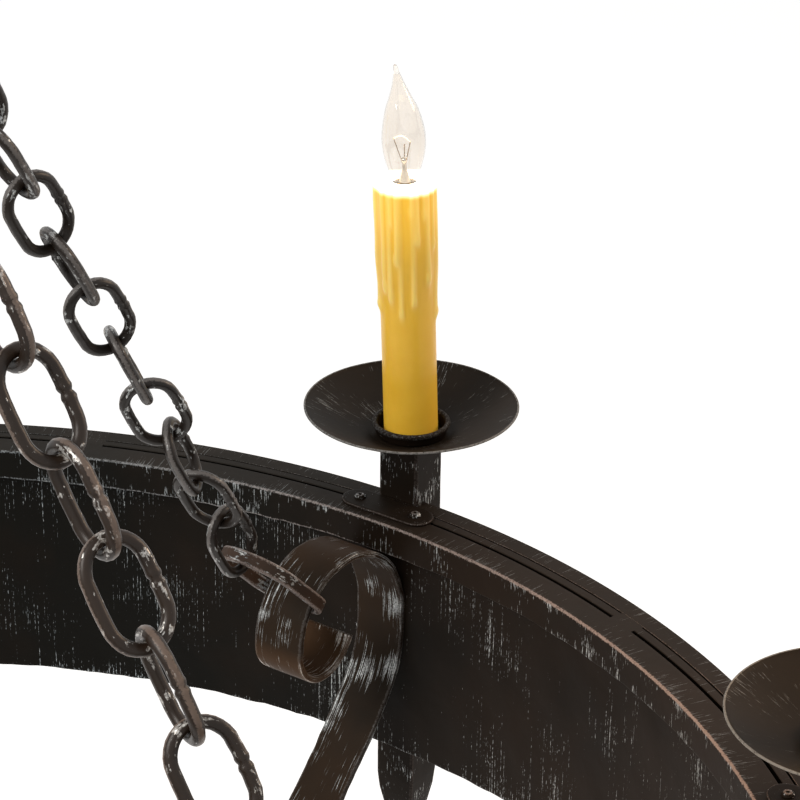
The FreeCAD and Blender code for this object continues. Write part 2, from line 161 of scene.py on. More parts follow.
hub_plate_side = 96.0
hub_plate_corner = 14.0
hub_plate_thickness = 6.0
hub_bolt_head_radius = 8.5
hub_bolt_head_height = 4.5
hub_bolt_radius = 4.0
hub_nut_height = 6.5
hub_cap_radius = 26.0
hub_cap_height = 7.0
finial_radius = 24.0
finial_neck_height = 12.0
finial_neck_radius = 9.0
finial_rod_radius = 5.0
finial_nut_height = 6.0

# ---------------------------------------------------------------- layout worked out from the sizes

bar_corner = eye_wire_radius / cos(pi / 6)
link_pitch = link_inner_length - link_play
roll_centre = (strap_x - roll_radii[0], roll_start_height + roll_radii[0] - roll_radii[1])
roll_wall_inside = roll_radii[1] - strap_thickness / 2
ring_inside = ring_end_radius - ring_bar_thickness / 2
ring_bite = ring_inside - sqrt(ring_inside ** 2 - (strap_width / 2) ** 2)
ring_start = sqrt(roll_wall_inside ** 2 - (ring_bar_height / 2) ** 2) - ring_bite - ring_play - ring_bar_thickness / 2
ring_way = np.array([cos(radians(ring_angle)), 0, sin(radians(ring_angle))])
ring_foot = np.array([roll_centre[0], 0, roll_centre[1]]) + ring_start * ring_way
ring_head = ring_foot + ring_length * ring_way

first_link_rise = link_inner_length / 2 - ring_seat
last_link_drop = link_inner_length / 2 - web_rise
chain_run = first_link_rise + (links_per_chain - 1) * link_pitch + last_link_drop
chain_lean = asin((ring_head[0] - web_radius) / chain_run)

link_top_bar = loop_bar_height + bar_corner + eye_play + wire_apothem
swing_link_centre = link_top_bar - link_inner_length / 2 - wire_apothem
link_low_bar = swing_link_centre - link_inner_length / 2 - wire_apothem
eye_centre = link_low_bar + wire_apothem + eye_play + bar_corner - eye_radius
spreader_top = eye_centre - eye_radius - eye_collar_height

sweep_rise = sin(radians(90 - strap_sweep_angle))
hub_height = strap_elbow_height - strap_elbow_radius * sweep_rise + strap_sweep_radius * (sweep_rise - 1)
hub_top = hub_height + strap_thickness / 2
hub_bottom = hub_height - strap_thickness / 2


# Painted warm light: the iron is toned browner across the wheel towards negative Y, standing for warm light falling
# on that side.
warm_light_from_y = 350.0
warm_light_full_y = -450.0
warm_light_most = 0.8


# ---------------------------------------------------------------- surfaces on grids

def dents(points, size, seed):
    """Smooth unevenness from about -1 to 1: ten sine waves of random heading, phase and length near
    the size are added at every point, so it is the same on both sides of a seam."""
    maker = np.random.default_rng(seed)
    heading = maker.normal(size=(10, 3))
    heading /= np.linalg.norm(heading, axis=1, keepdims=True)
    heading *= 2 * pi / (size * maker.uniform(0.6, 1.6, (10, 1)))
    return np.sin(points @ heading.T + maker.uniform(0, 2 * pi, 10)).sum(-1) / 4


def step(value, low, high):
    """0 below low, 1 above high, and the cubic 3t^2 - 2t^3 between."""
    t = np.clip((value - low) / (high - low), 0, 1)
    return t * t * (3 - 2 * t)


def turned(points, angle):
    """The points turned about the Z axis by an angle in degrees."""
    c, s = cos(radians(angle)), sin(radians(angle))
    return points @ np.array([[c, s, 0], [-s, c, 0], [0, 0, 1]])


def moved(grid, angle=0.0, offset=(0, 0, 0), shift=0.0):
    """A copy of a grid, offset and then turned about Z, whose brush map is shifted so that copies differ."""
    copy = dict(grid)
    copy["points"] = turned(grid["points"] + np.array(offset, float), angle)
    copy["brush"] = grid["brush"] + np.array([shift * 7.31, shift * 3.17])
    return copy


def lengths(points, closed):
    """Distance travelled along a row of points, with one more entry where the row is closed."""
    row = np.vstack([points, points[:1]]) if closed else points
    return np.concatenate([[0], np.cumsum(np.linalg.norm(np.diff(row, axis=0), axis=1))])


def surface(points, first, second, wear, closed=(False, True), swap=False, inward=False, finish=0, warm=0.0):
    """A grid of points with its brush map: first and second are millimetres along the rows and columns.

    swap exchanges the two, so that brush strokes always run along the first number of the map. wear is 1
    on a bare edge, and warm is 1 where the iron was browned by heat.
    """
    u, v = np.meshgrid(first, second, indexing="ij")
    brush = np.stack([v, u] if swap else [u, v], -1)
    wear, warm = np.broadcast_to(wear, points.shape[:2]), np.broadcast_to(warm, points.shape[:2])
    return {"points": points, "brush": brush, "wear": wear, "warm": warm, "closed": closed, "inward": inward,
            "finish": finish}


def rounded(corners, radius, spacing=12.0, closed=True):
    """Outline with each corner replaced by an arc, and with more points close to the arcs so that the
    flats shade flat. Gives the points and their wear, which falls off as exp(-distance / 5 mm) from
    an outward corner."""
    corners = [np.array(c, float) for c in corners]
    count = len(corners)
    arcs = []
    for k in range(count):
        here = corners[k]
        if not closed and k in (0, count - 1):
            arcs.append(([here], 0.0))
            continue
        way_in = here - corners[k - 1]
        way_in = way_in / np.linalg.norm(way_in)
        way_out = corners[(k + 1) % count] - here
        way_out = way_out / np.linalg.norm(way_out)
        turn = atan2(way_in[0] * way_out[1] - way_in[1] * way_out[0], way_in @ way_out)
        side = np.array([-way_in[1], way_in[0]]) * np.sign(turn)
        centre = here - way_in * radius * tan(abs(turn) / 2) + side * radius
        shares = np.linspace(0, 1, 4) * turn
        arc = [centre - radius * (side * cos(t) + np.array([-side[1], side[0]]) * sin(t)) for t in shares]
        arcs.append((arc, 1.0 if turn > 0 else 0.0))
    points, wear = [], []
    for k in range(count):
        arc, edge = arcs[k]
        points += arc
        wear += [edge] * len(arc)
        if not closed and k == count - 1:
            break
        end = arc[-1]
        start, next_edge = arcs[(k + 1) % count][0][0], arcs[(k + 1) % count][1]
        length = np.linalg.norm(start - end)
        near = [s for s in (0.6, 2.0, 5.0) if s < length / 2 - 0.2]
        reach = near[-1] if near else 0.0
        fill = max(int((length - 2 * reach) / spacing), 0)
        between = [reach + (length - 2 * reach) * (i + 1) / (fill + 1) for i in range(fill)]
        for s in near + between + [length - s for s in reversed(near)]:
            points.append(end + (start - end) * s / length)
            wear.append(max(edge * exp(-s / 5), next_edge * exp(-(length - s) / 5)))
    return np.array(points), np.array(wear)


def eased(points, per_span=6):
    """Catmull-Rom curve through a row of points: each span is the usual cubic of its four neighbours."""
    p = np.array(points, float)
    p = np.vstack([2 * p[0] - p[1], p, 2 * p[-1] - p[-2]])
    t = np.linspace(0, 1, per_span, endpoint=False)[None, :, None]
    a, b, c, d = p[:-3, None], p[1:-2, None], p[2:-1, None], p[3:, None]
    curve = 0.5 * (2 * b + (c - a) * t + (2 * a - 5 * b + 4 * c - d) * t ** 2 + (3 * b - a - 3 * c + d) * t ** 3)
    return np.vstack([curve.reshape(-1, p.shape[1]), p[-2:-1]])


def lathe(profile, steps, wear=0.0, closed=False, centre=(0, 0), round_radius=None, seam=180.0, **more):
    """Turned surface: point (i, j) is profile point i carried round the axis to angle j.

    The brush map runs round the axis first and along the profile second.
    """
    profile = np.array(profile, float)
    angles = radians(seam) + np.arange(steps) * 2 * pi / steps
    r, z = profile[:, :1], profile[:, 1:]
    x, y = centre[0] + r * np.cos(angles), centre[1] + r * np.sin(angles)
    points = np.stack([x, y, np.broadcast_to(z, x.shape)], -1)
    round_way = np.linspace(0, 2 * pi, steps + 1) * (round_radius or profile[:, 0].max())
    wear = np.array(wear)[:, None] if np.ndim(wear) else wear
    return surface(points, lengths(profile, closed), round_way, wear, (closed, True), swap=True, **more)


def swept(outline, wear, path, inward, sideways, closed_path, **more):
    """Bar: the outline is carried along the path, its first number along the inward axis and its second
    along the sideways axis of each station."""
    points = path[:, None] + outline[None, :, :1] * inward[:, None] + outline[None, :, 1:] * sideways[:, None]
    return surface(points, lengths(path, closed_path), lengths(outline, True), wear, (closed_path, True), **more)


def stadium(half_straight, radius, along, across, centre, end_steps=14, side_steps=7):
    """Closed path of two straights and two half circles in the plane of two unit vectors, and its inward axis."""
    t = (np.arange(end_steps) + 0.5) / end_steps * pi
    s = np.linspace(1, -1, side_steps) * half_straight
    end_x, end_y = half_straight + radius * np.sin(t), radius * np.cos(t)
    x = np.concatenate([end_x, s, -end_x, -s])
    y = np.concatenate([end_y, np.full(side_steps, -radius), -end_y, np.full(side_steps, radius)])
    nx = -np.concatenate([np.sin(t), 0 * s, -np.sin(t), 0 * s])
    ny = -np.concatenate([np.cos(t), 0 * s - 1, -np.cos(t), 0 * s + 1])
    along, across, centre = np.array(along, float), np.array(across, float), np.array(centre, float)
    path = centre + x[:, None] * along + y[:, None] * across
    return path, nx[:, None] * along + ny[:, None] * across


def disc(radius, count, squeeze=1.0):
    """Outline of a round bar."""
    t = np.arange(count) * 2 * pi / count
    return np.stack([radius * np.cos(t), radius * squeeze * np.sin(t)], -1)


def slab(outline, rings, wear, closed=(False, True), finish=0):
    """Flat plate: its outline is drawn in towards the middle and lifted, ring by ring, and both ends are capped."""
    outline = np.array(outline, float)
    middle = outline.mean(0)
    reach = np.linalg.norm(outline - middle, axis=1, keepdims=True)
    points = [np.column_stack([middle + (outline - middle) * (1 - inset / reach), np.full(len(outline), z)])
              for inset, z in rings]
    return surface(np.array(points), np.cumsum([0] + [2.0] * (len(rings) - 1)), lengths(outline, True),
                   np.array(wear)[:, None], closed, swap=True, finish=finish)


def piece(name, grids, materials, body, stands_for=()):
    """One object from grids, with its brush map and wear, riding on a body and standing for CAD nodes.

    The iron is cool on one side of the wheel and browner on the other, which is painted warm light on
    that side: warm grows along a cubic step from 0 to warm_light_most as Y falls from warm_light_from_y to
    warm_light_full_y, unless the grid itself is warmer.
    """
    verts, faces, maps, wear, warm, finish, smooth = [], [], [], [], [], [], []
    base = 0
    for grid in grids:
        points, closed = grid["points"], grid["closed"]
        m, n = points.shape[:2]
        i, j = np.meshgrid(np.arange(m - (not closed[0])), np.arange(n - (not closed[1])), indexing="ij")
        i, j = i.ravel(), j.ravel()
        corners = [(i, j), (i + 1, j), (i + 1, j + 1), (i, j + 1)]
        quads = np.stack([(a % m) * n + b % n for a, b in corners], -1)
        uv = np.stack([grid["brush"][a, b] for a, b in corners], 1)
        flat = points.reshape(-1, 3)
        p = flat[quads]
        volume = np.einsum("ij,ij->i", p[:, 0], np.cross(p[:, 1], p[:, 2]) + np.cross(p[:, 2], p[:, 3])).sum()
        caps = []
        if not closed[0]:
            for ring, order in ((0, np.arange(n)), (m - 1, np.arange(n)[::-1])):
                rim = points[ring, order]
                volume += (rim.mean(0) @ np.cross(rim, np.roll(rim, -1, 0)).sum(0))
                caps.append((ring * n + order, grid["brush"][ring, order]))
        flip = (volume < 0) != grid["inward"]
        if flip:
            quads, uv = quads[:, ::-1], uv[:, ::-1]
            caps = [(order[::-1], brush[::-1]) for order, brush in caps]
        verts.append(flat)
        wear.append(grid["wear"].ravel())
        # painted warm light: the side of the wheel towards negative Y is toned browner
        brown = warm_light_most * step(-flat[:, 1], -warm_light_from_y, -warm_light_full_y)
        warm.append(np.maximum(grid["warm"].ravel(), brown))
        faces += (quads + base).tolist() + [(order + base).tolist() for order, _ in caps]
        maps += [uv.reshape(-1, 2)] + [brush for _, brush in caps]
        finish += [grid["finish"]] * (len(quads) + len(caps))
        smooth += [True] * len(quads) + [False] * len(caps)
        base += len(flat)
    mesh = bpy.data.meshes.new(name)
    mesh.from_pydata((np.vstack(verts) * MM).tolist(), [], faces)
    layer = mesh.uv_layers.new(name="brush")
    layer.data.foreach_set("uv", np.vstack(maps).astype(np.float32).ravel())
    for title, values in (("wear", wear), ("warm", warm)):
        attribute = mesh.attributes.new(title, "FLOAT", "POINT")
        attribute.data.foreach_set("value", np.concatenate(values).astype(np.float32))
    mesh.polygons.foreach_set("use_smooth", smooth)
    mesh.polygons.foreach_set("material_index", finish)
    for material in materials:
        mesh.materials.append(material)
    mesh.update()
    made = bpy.data.objects.new(name, mesh)
    bpy.context.scene.collection.objects.link(made)
    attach(made, body)
    if stands_for:
        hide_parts(*stands_for)
    return made


# ---------------------------------------------------------------- materials

def colour(code):
    """sRGB hex to linear RGBA."""
    parts = [int(code[k:k + 2], 16) / 255 for k in (1, 3, 5)]
    return [c / 12.92 if c <= 0.04045 else ((c + 0.055) / 1.055) ** 2.4 for c in parts] + [1.0]


def add(tree, kind, inputs=None, **settings):
    """Adds a node: settings are its properties, and each input gets a value or a link from a socket."""
    node = tree.nodes.new("ShaderNode" + kind)
    for key, value in settings.items():
        setattr(node, key, value)
    for key, value in (inputs or {}).items():
        if isinstance(value, bpy.types.NodeSocket):
            tree.links.new(value, node.inputs[key])
        else:
            node.inputs[key].default_value = value
    return node.outputs[2 if kind == "Mix" else 0] if node.outputs else None


def new_material(name):
    """A material with an empty node tree."""
    material = bpy.data.materials.new(name)
    material.use_nodes = True
    material.node_tree.nodes.clear()
    return material, material.node_tree


def brushed_iron(name, lane=60.0, speck=4.0, width=0.8, cover=1.13, patch=45.0, gain=0.5, edge=0.25, copper=0.5,
                 black="#11100d", brown="#291d14", across=False, in_space=False, edge_tone="#c0957a",
                 rough=0.55, gloss=0.06, full=1.0):
    """Hand-forged wrought iron, blackened, with silver paint dragged over it by an almost dry brush and
    rubbed through to warm metal on the edges.

    The eye gets near black with a brown cast, rows of thin broken dashes along the brush strokes, more of
    them near edges and in loose patches, and a thin worn line where an edge is sharpest. A row of dashes is
    lane long and one dash speck long, in millimetres; real dashes are finer than the width of 0.8 mm that
    they are drawn with, so that they show. The warm attribute turns paint and ground from cool to brown;
    it carries heat browning and also painted warm light, so the brown cast, the warmer paint and the copper
    on rubbed edges are partly painted light. full is how thick the paint lies.
    """
    material, tree = new_material(name)
    place = add(tree, "TexCoord").node.outputs["Object"]
    mapped = place if in_space else add(tree, "UVMap", uv_map="brush")
    if in_space:
        row_scale, dash_scale = (1000 / width, 1000 / width, 1000 / lane), (1000 / width, 1000 / width, 1000 / speck)
    elif across:
        row_scale, dash_scale = (1 / width, 1 / lane, 1), (1 / width, 1 / speck, 1)
    else:
        row_scale, dash_scale = (1 / lane, 1 / width, 1), (1 / speck, 1 / width, 1)
    row_way = add(tree, "VectorMath", {0: mapped, 1: row_scale}, operation="MULTIPLY")
    dash_way = add(tree, "VectorMath", {0: mapped, 1: dash_scale}, operation="MULTIPLY")
    wear = add(tree, "Attribute", attribute_name="wear").node.outputs["Fac"]
    warm = add(tree, "Attribute", attribute_name="warm").node.outputs["Fac"]
    rows = add(tree, "TexNoise", {"Vector": row_way, "Scale": 1.0, "Detail": 1.0, "Distortion": 0.3})
    dashes = add(tree, "TexNoise", {"Vector": dash_way, "Scale": 1.0, "Detail": 2.0, "Roughness": 0.6})
    grain = add(tree, "TexNoise", {"Vector": place, "Scale": 1000 / 1.4, "Detail": 2.0, "Roughness": 0.7})
    cloud = add(tree, "TexNoise", {"Vector": place, "Scale": 1000 / patch, "Detail": 2.0, "Roughness": 0.55})
    level = add(tree, "Math", {0: dashes, 1: 0.8, 2: rows}, operation="MULTIPLY_ADD")
    level = add(tree, "Math", {0: cloud, 1: gain, 2: level}, operation="MULTIPLY_ADD")
    level = add(tree, "Math", {0: wear, 1: edge, 2: level}, operation="MULTIPLY_ADD")
    level = add(tree, "Math", {0: level, 1: gain / 2}, operation="SUBTRACT")
    silver = add(tree, "MapRange", {0: level, 1: cover, 2: cover + 0.14, 4: full}, interpolation_type="SMOOTHSTEP")
    stain = add(tree, "TexNoise", {"Vector": place, "Scale": 1000 / 120, "Detail": 3.0, "Roughness": 0.6})
    stain = add(tree, "MapRange", {0: stain, 1: 0.3, 2: 0.7, 3: -0.25, 4: 0.25})
    # warm, which is heat browning and painted warm light, browns the ground, the paint and the bare edges below
    tone = add(tree, "Math", {0: warm, 1: stain}, operation="ADD", use_clamp=True)
    ground = add(tree, "Mix", {0: tone, 6: colour(black), 7: colour(brown)}, data_type="RGBA")
    thin = add(tree, "Mix", {0: warm, 6: colour("#5f6a70"), 7: colour("#7c7066")}, data_type="RGBA")
    thick = add(tree, "Mix", {0: warm, 6: colour("#cdd5d8"), 7: colour("#e0dad2")}, data_type="RGBA")
    body = add(tree, "MapRange", {0: grain, 1: 0.35, 2: 0.62})
    paint = add(tree, "Mix", {0: body, 6: thin, 7: thick}, data_type="RGBA")
    painted = add(tree, "Mix", {0: silver, 6: ground, 7: paint}, data_type="RGBA")
    worn = add(tree, "Math", {0: grain, 1: 0.6, 2: wear}, operation="MULTIPLY_ADD")
    worn = add(tree, "Math", {0: warm, 1: 0.12, 2: worn}, operation="MULTIPLY_ADD")
    rubbed = add(tree, "MapRange", {0: worn, 1: 1.2, 2: 1.4, 4: copper}, interpolation_type="SMOOTHSTEP")
    bare = add(tree, "Mix", {0: warm, 6: colour("#8b9296"), 7: colour(edge_tone)}, data_type="RGBA")
    finish = add(tree, "Mix", {0: rubbed, 6: painted, 7: bare}, data_type="RGBA")
    shine = add(tree, "Math", {0: silver, 1: -0.12, 2: rough}, operation="MULTIPLY_ADD")
    metal = add(tree, "Math", {0: silver, 1: 0.4, 2: 0.05}, operation="MULTIPLY_ADD")
    hammer = add(tree, "TexNoise", {"Vector": place, "Scale": 1000 / 14, "Detail": 2.0})
    height = add(tree, "Math", {0: hammer, 1: 1.6, 2: silver}, operation="MULTIPLY_ADD")
    bump = add(tree, "Bump", {"Height": height, "Strength": 0.5, "Distance": 0.0004})
    shader = add(tree, "BsdfPrincipled", {"Base Color": finish, "Roughness": shine, "Metallic": metal, "Normal": bump,
                                          "Specular IOR Level": gloss})
    add(tree, "OutputMaterial", {"Surface": shader})
    return material


def candle_resin():
    """Cast amber resin sleeve made to look like beeswax, lit from inside by its lamp.

    The eye gets a warm translucent yellow, a little paler on the runs, deeper in the shade, and a top
    edge that the lamp burns out to white, painted as white glow. The light that the wall carries down is drawn
    as a faint glow, painted light that lifts the wall's shade and grows towards the top.
    """
    material, tree = new_material("cast amber candle resin")
    place = add(tree, "TexCoord").node.outputs["Object"]
    height = add(tree, "SeparateXYZ", {0: place}).node.outputs["Z"]
    run = add(tree, "Attribute", attribute_name="wear").node.outputs["Fac"]
    cloud = add(tree, "TexNoise", {"Vector": place, "Scale": 1000 / 18, "Detail": 3.0, "Roughness": 0.55})
    body = add(tree, "Mix", {0: cloud, 6: colour("#dfaf2e"), 7: colour("#ebc044")}, data_type="RGBA")
    body = add(tree, "Mix", {0: run, 6: body, 7: colour("#f7d776")}, data_type="RGBA")
    top = (RIM_TOP + sleeve_top) * MM
    # painted light: the resin glows white at its top edge and faintly warm below, lifting its shade; this is
    # emission, not light from the lamp
    glow = add(tree, "MapRange", {0: height, 1: top - 0.007, 2: top - 0.001}, interpolation_type="SMOOTHSTEP")
    near = add(tree, "MapRange", {0: height, 1: top - 0.060, 2: top - 0.002}, interpolation_type="SMOOTHSTEP")
    light = add(tree, "Mix", {0: glow, 6: colour("#ffbe3a"), 7: colour("#fffaf0")}, data_type="RGBA")
    strength = add(tree, "Math", {0: near, 1: 0.3, 2: 0.12}, operation="MULTIPLY_ADD")
    strength = add(tree, "Math", {0: glow, 1: 1.6, 2: strength}, operation="MULTIPLY_ADD")
    fine = add(tree, "TexNoise", {"Vector": place, "Scale": 1000 / 3, "Detail": 2.0})
    bump = add(tree, "Bump", {"Height": fine, "Strength": 0.2, "Distance": 0.0003})
    shader = add(tree, "BsdfPrincipled", {"Base Color": body, "Roughness": 0.34, "Normal": bump,
                                          "Emission Color": light, "Emission Strength": strength,
                                          "Subsurface Weight": 0.25, "Subsurface Scale": 0.006,
                                          "Subsurface Radius": (1.0, 0.6, 0.15), "Specular IOR Level": 0.35})
    add(tree, "OutputMaterial", {"Surface": shader})
    return material


def blown_glass():
    """Thin clear soda-lime glass of a flame lamp: nearly unseen, with painted grey shade on its edges and a bright
    spot.
    """
    material, tree = new_material("thin clear blown glass")
    place = add(tree, "TexCoord").node.outputs["Object"]
    drawn = add(tree, "VectorMath", {0: place, 1: (1, 1, 0.3)}, operation="MULTIPLY")
    ripple = add(tree, "TexNoise", {"Vector": drawn, "Scale": 1000 / 9, "Detail": 1.0})
    bump = add(tree, "Bump", {"Height": ripple, "Strength": 0.1, "Distance": 0.0003})
    # painted shade: the colour greys where the glass is seen edge-on, standing for its dark edges
    rim = add(tree, "LayerWeight", {"Blend": 0.35}).node.outputs["Facing"]
    rim = add(tree, "MapRange", {0: rim, 1: 0.55, 2: 1.0}, interpolation_type="SMOOTHSTEP")
    tint = add(tree, "Mix", {0: ripple, 6: colour("#fdf9f4"), 7: colour("#f4efe8")}, data_type="RGBA")
    tint = add(tree, "Mix", {0: rim, 6: tint, 7: colour("#8f8a84")}, data_type="RGBA")
    shader = add(tree, "BsdfPrincipled", {"Base Color": tint, "Roughness": 0.02, "IOR": 1.45,
                                          "Transmission Weight": 1.0, "Normal": bump})
    add(tree, "OutputMaterial", {"Surface": shader})
    return material


def lamp_brass():
    """Rolled brass lamp shell: pale yellow metal with fine lines round it."""
    material, tree = new_material("rolled brass lamp shell")
    place = add(tree, "TexCoord").node.outputs["Object"]
    lines = add(tree, "VectorMath", {0: place, 1: (200, 200, 4000)}, operation="MULTIPLY")
    grain = add(tree, "TexNoise", {"Vector": lines, "Scale": 1.0, "Detail": 2.0})
    tone = add(tree, "Mix", {0: grain, 6: colour("#b5914e"), 7: colour("#d8bd80")}, data_type="RGBA")
    shine = add(tree, "Math", {0: grain, 1: 0.2, 2: 0.2}, operation="MULTIPLY_ADD")
    shader = add(tree, "BsdfPrincipled", {"Base Color": tone, "Metallic": 1.0, "Roughness": shine})
    add(tree, "OutputMaterial", {"Surface": shader})
    return material


def lamp_wire(name, low, high, glow=0.0):
    """Nickel and molybdenum wires of the lamp: grey to straw, dull; the filament itself glows."""
    material, tree = new_material(name)
    place = add(tree, "TexCoord").node.outputs["Object"]
    grain = add(tree, "TexNoise", {"Vector": place, "Scale": 1000 / 2})
    tone = add(tree, "Mix", {0: grain, 6: colour(low), 7: colour(high)}, data_type="RGBA")
    shader = add(tree, "BsdfPrincipled", {"Base Color": tone, "Metallic": 0.8, "Roughness": 0.35,
                                          "Emission Color": colour("#ffd9a0"), "Emission Strength": glow})
    add(tree, "OutputMaterial", {"Surface": shader})
    return material


def zinc_steel():
    """Pressed steel with bright zinc plate: pale grey, cloudy, faintly blue."""
    material, tree = new_material("bright zinc plated steel")
    place = add(tree, "TexCoord").node.outputs["Object"]
    cloud = add(tree, "TexNoise", {"Vector": place, "Scale": 1000 / 12, "Detail": 3.0, "Roughness": 0.6})
    tone = add(tree, "Mix", {0: cloud, 6: colour("#8f959a"), 7: colour("#c3c8ca")}, data_type="RGBA")
    shine = add(tree, "Math", {0: cloud, 1: 0.3, 2: 0.2}, operation="MULTIPLY_ADD")
    grain = add(tree, "TexNoise", {"Vector": place, "Scale": 1000 / 1.5})
    bump = add(tree, "Bump", {"Height": grain, "Strength": 0.2, "Distance": 0.0002})
    shader = add(tree, "BsdfPrincipled", {"Base Color": tone, "Metallic": 0.9, "Roughness": shine, "Normal": bump})
    add(tree, "OutputMaterial", {"Surface": shader})
    return material


def phenolic():
    """Moulded black phenolic of a lamp socket: brown-black, with a soft gloss and fine flow marks."""
    material, tree = new_material("moulded black phenolic")
    place = add(tree, "TexCoord").node.outputs["Object"]
    flow = add(tree, "TexNoise", {"Vector": place, "Scale": 1000 / 8, "Detail": 3.0, "Roughness": 0.6,
                                  "Distortion": 0.6})
    tone = add(tree, "Mix", {0: flow, 6: colour("#141210"), 7: colour("#2a2420")}, data_type="RGBA")
    shine = add(tree, "Math", {0: flow, 1: 0.25, 2: 0.2}, operation="MULTIPLY_ADD")
    shader = add(tree, "BsdfPrincipled", {"Base Color": tone, "Roughness": shine})
    add(tree, "OutputMaterial", {"Surface": shader})
    return material


band_iron = brushed_iron("rolled iron, brushed down", lane=100, speck=3.5, cover=1.15, patch=70, gain=0.8, copper=0.0,
                         edge=0.16)
lip_iron = brushed_iron("rolled iron lip, brushed down", lane=18, speck=5, cover=1.17, patch=26, gain=1.0, edge=0.14,
                        across=True, copper=0.95, black="#12110e")
# painted reflection: the plate's ground is lighter than the band's, standing for the pale room mirrored in its flat
# top
plate_iron = brushed_iron("rolled iron plate, brushed across", lane=26, speck=10, width=0.6, cover=1.13, patch=60,
                          gain=0.6, edge=0.16, across=True, copper=0.9, black="#211e1a", brown="#382d25", full=0.35)
# painted shade: the insides of the slots are near black, standing for the shade in the narrow cuts
slot_shade_iron = brushed_iron("painted shade inside of a slot", lane=8, cover=1.3, black="#050504", brown="#0c0805", copper=0.0,
                         gloss=0.0)
strap_iron = brushed_iron("hand-forged strap iron", lane=70, speck=16, width=0.7, cover=1.1, patch=30, gain=1.3,
                          edge=0.08, copper=0.2, black="#1e1b17", brown="#44301f", edge_tone="#9a8676")
post_iron = brushed_iron("square iron tube, brushed down", lane=14, speck=4, cover=1.13, patch=22, gain=1.1,
                         edge=0.05, copper=0.1)
foot_iron = brushed_iron("flat iron foot, wiped", lane=3, speck=2, cover=1.25, patch=16, gain=0.6, edge=0.12,
                         in_space=True, copper=0.2, black="#181511", brown="#2a1f17")
screw_iron = brushed_iron("turned screw head", lane=3, speck=2, width=1.0, cover=1.08, patch=7, gain=1.4, edge=0.1,
                          in_space=True, copper=0.8, edge_tone="#a2806a")
# the copper on the links' outer sides is painted warm sheen
chain_iron = brushed_iron("forged chain iron", lane=10, speck=3, width=2.0, cover=1.12, patch=11, gain=1.7, edge=0.0,
                          black="#100d0a", brown="#2c2017", copper=0.45, rough=0.36, gloss=0.3, full=0.85,
                          edge_tone="#94755e")
ring_iron = brushed_iron("flat bar ring iron", lane=9, speck=2.5, width=1.6, cover=1.06, patch=20, gain=1.5,
                         edge=0.06, black="#241c16", brown="#553c2c", copper=0.6, gloss=0.2, full=0.85)
pan_iron = brushed_iron("spun iron pan, wiped outwards", lane=26, speck=9, width=0.7, cover=1.12, patch=34, gain=0.9,
                        edge=0.04, across=True, black="#16120d", brown="#33281e", copper=0.75, edge_tone="#a89a8a",
                        rough=0.5, gloss=0.08, full=0.3)
cup_iron = brushed_iron("rolled iron cup", lane=10, speck=4, cover=1.26, patch=12, gain=0.6, edge=0.03, copper=0.45,
                        black="#15110d", edge_tone="#7b7268", full=0.6)
turned_iron = brushed_iron("turned iron", lane=14, speck=4, cover=1.16, patch=20, gain=0.8, edge=0.1, copper=0.3,
                           edge_tone="#8a7f74")
hidden_iron = brushed_iron("blackened iron fastener", lane=6, speck=2, width=1.2, cover=1.1, patch=10, gain=0.8,
                           in_space=True, copper=0.0)
resin = candle_resin()
glass = blown_glass()
brass = lamp_brass()
stem_glass = lamp_wire("pressed stem glass", "#c9c6c0", "#efeae2")
support_wire = lamp_wire("lamp support wire", "#8b7a66", "#c9b59a")
filament = lamp_wire("glowing filament", "#fff0d0", "#ffffff", 3.0)
zinc = zinc_steel()
socket_black = phenolic()


# ---------------------------------------------------------------- rim

slot_rows = ((585.7, 588.7), (594.6, 596.2))
slot_first_angle = -20.35
slot_last_angle = 22.5
post_gap_angle = 1.7
slot_lip_share, slot_floor_share = 0.15, 0.95
slot_plate_left = 0.2


def slot_share(angles, row):
    """1 where a slot of the row is cut at an angle in degrees, 0 on the bridges between slots; the
    slots repeat at every candle, and the outer row stops short of the post."""
    along = (angles - slot_first_angle) % 45.0
    cut = along < slot_last_angle - slot_first_angle
    if row == 1:
        cut &= np.abs(along + slot_first_angle) > post_gap_angle
    return cut.astype(float)


